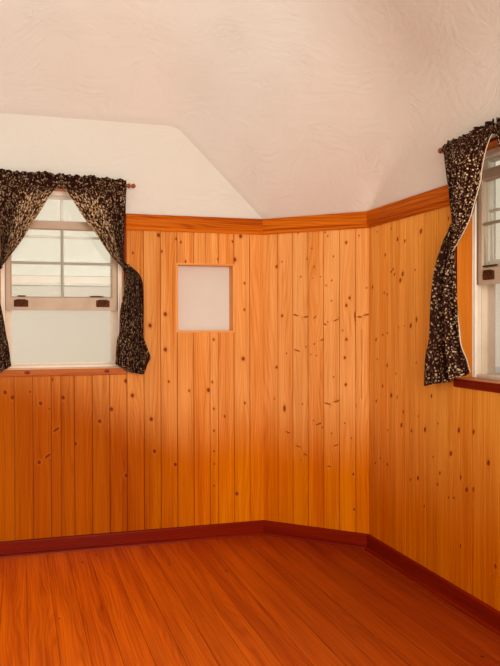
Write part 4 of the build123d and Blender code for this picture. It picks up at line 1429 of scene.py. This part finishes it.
neat.update(
    rise=(0.015, 0.022),
    inner=[(1.073, 0.010, 0.067), (1.050, 0.051, 0.066), (1.001, 0.089, 0.063), (0.907, 0.143, 0.057),
           (0.813, 0.199, 0.050), (0.720, 0.260, 0.044), (0.650, 0.310, 0.041), (0.590, 0.352, 0.040)],
    tail_inner=[(0.565, 0.372, 0.042), (0.514, 0.368, 0.046), (0.414, 0.360, 0.048),
                (0.354, 0.350, 0.050), (0.268, 0.334, 0.052), (0.209, 0.326, 0.052),
                (0.146, 0.313, 0.052), (0.022, 0.298, 0.052)],
)
curtain("left", left, -1, Drape((0.0135, 0.369), **neat), 2)
curtain("right", right, -1, Drape((-0.033, 0.369), **loose), 3)
loose["inner"] = [(height, between(0.346, q, 0.86), off) for height, q, off in loose["inner"]]
curtain("right", right, 1, Drape((0.040, 0.369), **loose), 4)


# Stage, light and camera

def stage_floor():
    bpy.ops.mesh.primitive_plane_add(size=40, location=(0, 0, -0.001))
    ground = bpy.context.object
    ground.name = "stage_floor"
    finish = Finish("pale_floor")
    soft = finish.cloud(finish.place(), 0.8, 2.0)
    base = finish.blend(soft, (0.76, 0.74, 0.71), (0.80, 0.78, 0.75))
    ground.data.materials.append(finish.finished(finish.surface(Base_Color=base, Roughness=0.9)))


AMBIENT = 0.62
BACKDROP = (0.80, 0.70, 0.54)


def surroundings():
    """An even pale world. Straight views, reflections and glass see the backdrop's own colour."""
    world = bpy.data.worlds.new("surroundings")
    bpy.context.scene.world = world
    finish = Finish("surroundings", world)
    rays = finish.node("ShaderNodeLightPath").socket.node.outputs
    straight, mirrored, through = (Value(finish, rays[name]) for name in (
        "Is Camera Ray", "Is Glossy Ray", "Is Transmission Ray"))
    seen = straight.at_least(mirrored).at_least(through)
    ambient = finish.node("ShaderNodeBackground", inputs={
        "Color": (1.0, 0.97, 0.93, 1.0), "Strength": AMBIENT})
    backdrop = finish.node("ShaderNodeBackground", inputs={"Color": (*BACKDROP, 1.0)})
    either = finish.node("ShaderNodeMixShader", inputs={0: seen, 1: ambient, 2: backdrop})
    finish.finished(either, "ShaderNodeOutputWorld")


def lamp(name, place, target, size, power, colour):
    light = bpy.data.lights.new(name, "AREA")
    light.shape = "DISK"
    light.size = size
    light.energy = power
    light.color = colour
    made = bpy.data.objects.new(name, light)
    made.location = place
    made.rotation_euler = (Vector(target) - Vector(place)).to_track_quat("-Z", "Y").to_euler()
    made.visible_camera = False
    bpy.context.scene.collection.objects.link(made)


SENSOR = 36.0
# The lens's reach and the picture's height, in pixels
FOCAL_PIXELS = 753.0
PICTURE_HEIGHT = 666.0


def camera():
    """The photograph's camera, placed from the inner corner of the room at floor level."""
    eye = inner_corner + Vector((-1.516, -4.631, 1.352))
    yaw, pitch, roll = math.radians(17.126), math.radians(-0.614), math.radians(-0.135)
    ahead = Vector((math.sin(yaw) * math.cos(pitch), math.cos(yaw) * math.cos(pitch), math.sin(pitch)))
    level = Vector((math.cos(yaw), -math.sin(yaw), 0.0))
    up = level.cross(ahead)
    across = level * math.cos(roll) + up * math.sin(roll)
    up = up * math.cos(roll) - level * math.sin(roll)
    turn = Matrix((across, up, -ahead)).transposed().to_4x4()
    lens = bpy.data.cameras.new("camera")
    lens.sensor_width = SENSOR
    lens.lens = SENSOR * FOCAL_PIXELS / PICTURE_HEIGHT
    made = bpy.data.objects.new("camera", lens)
    made.matrix_world = Matrix.Translation(eye) @ turn
    bpy.context.scene.collection.objects.link(made)
    bpy.context.scene.camera = made


stage_floor()
surroundings()
camera()
room = Vector((0.4, 0.6, 1.4))
lamp("key", (-0.2, -4.7, 1.9), room, 2.8, 175, (1.0, 0.96, 0.90))
lamp("fill", (0.6, -4.6, 1.6), room, 2.0, 40, (1.0, 0.95, 0.88))
lamp("back", (3.0, 5.0, 4.5), room, 3.0, 180, (1.0, 1.0, 1.0))
bpy.context.scene.view_settings.view_transform = "Standard"
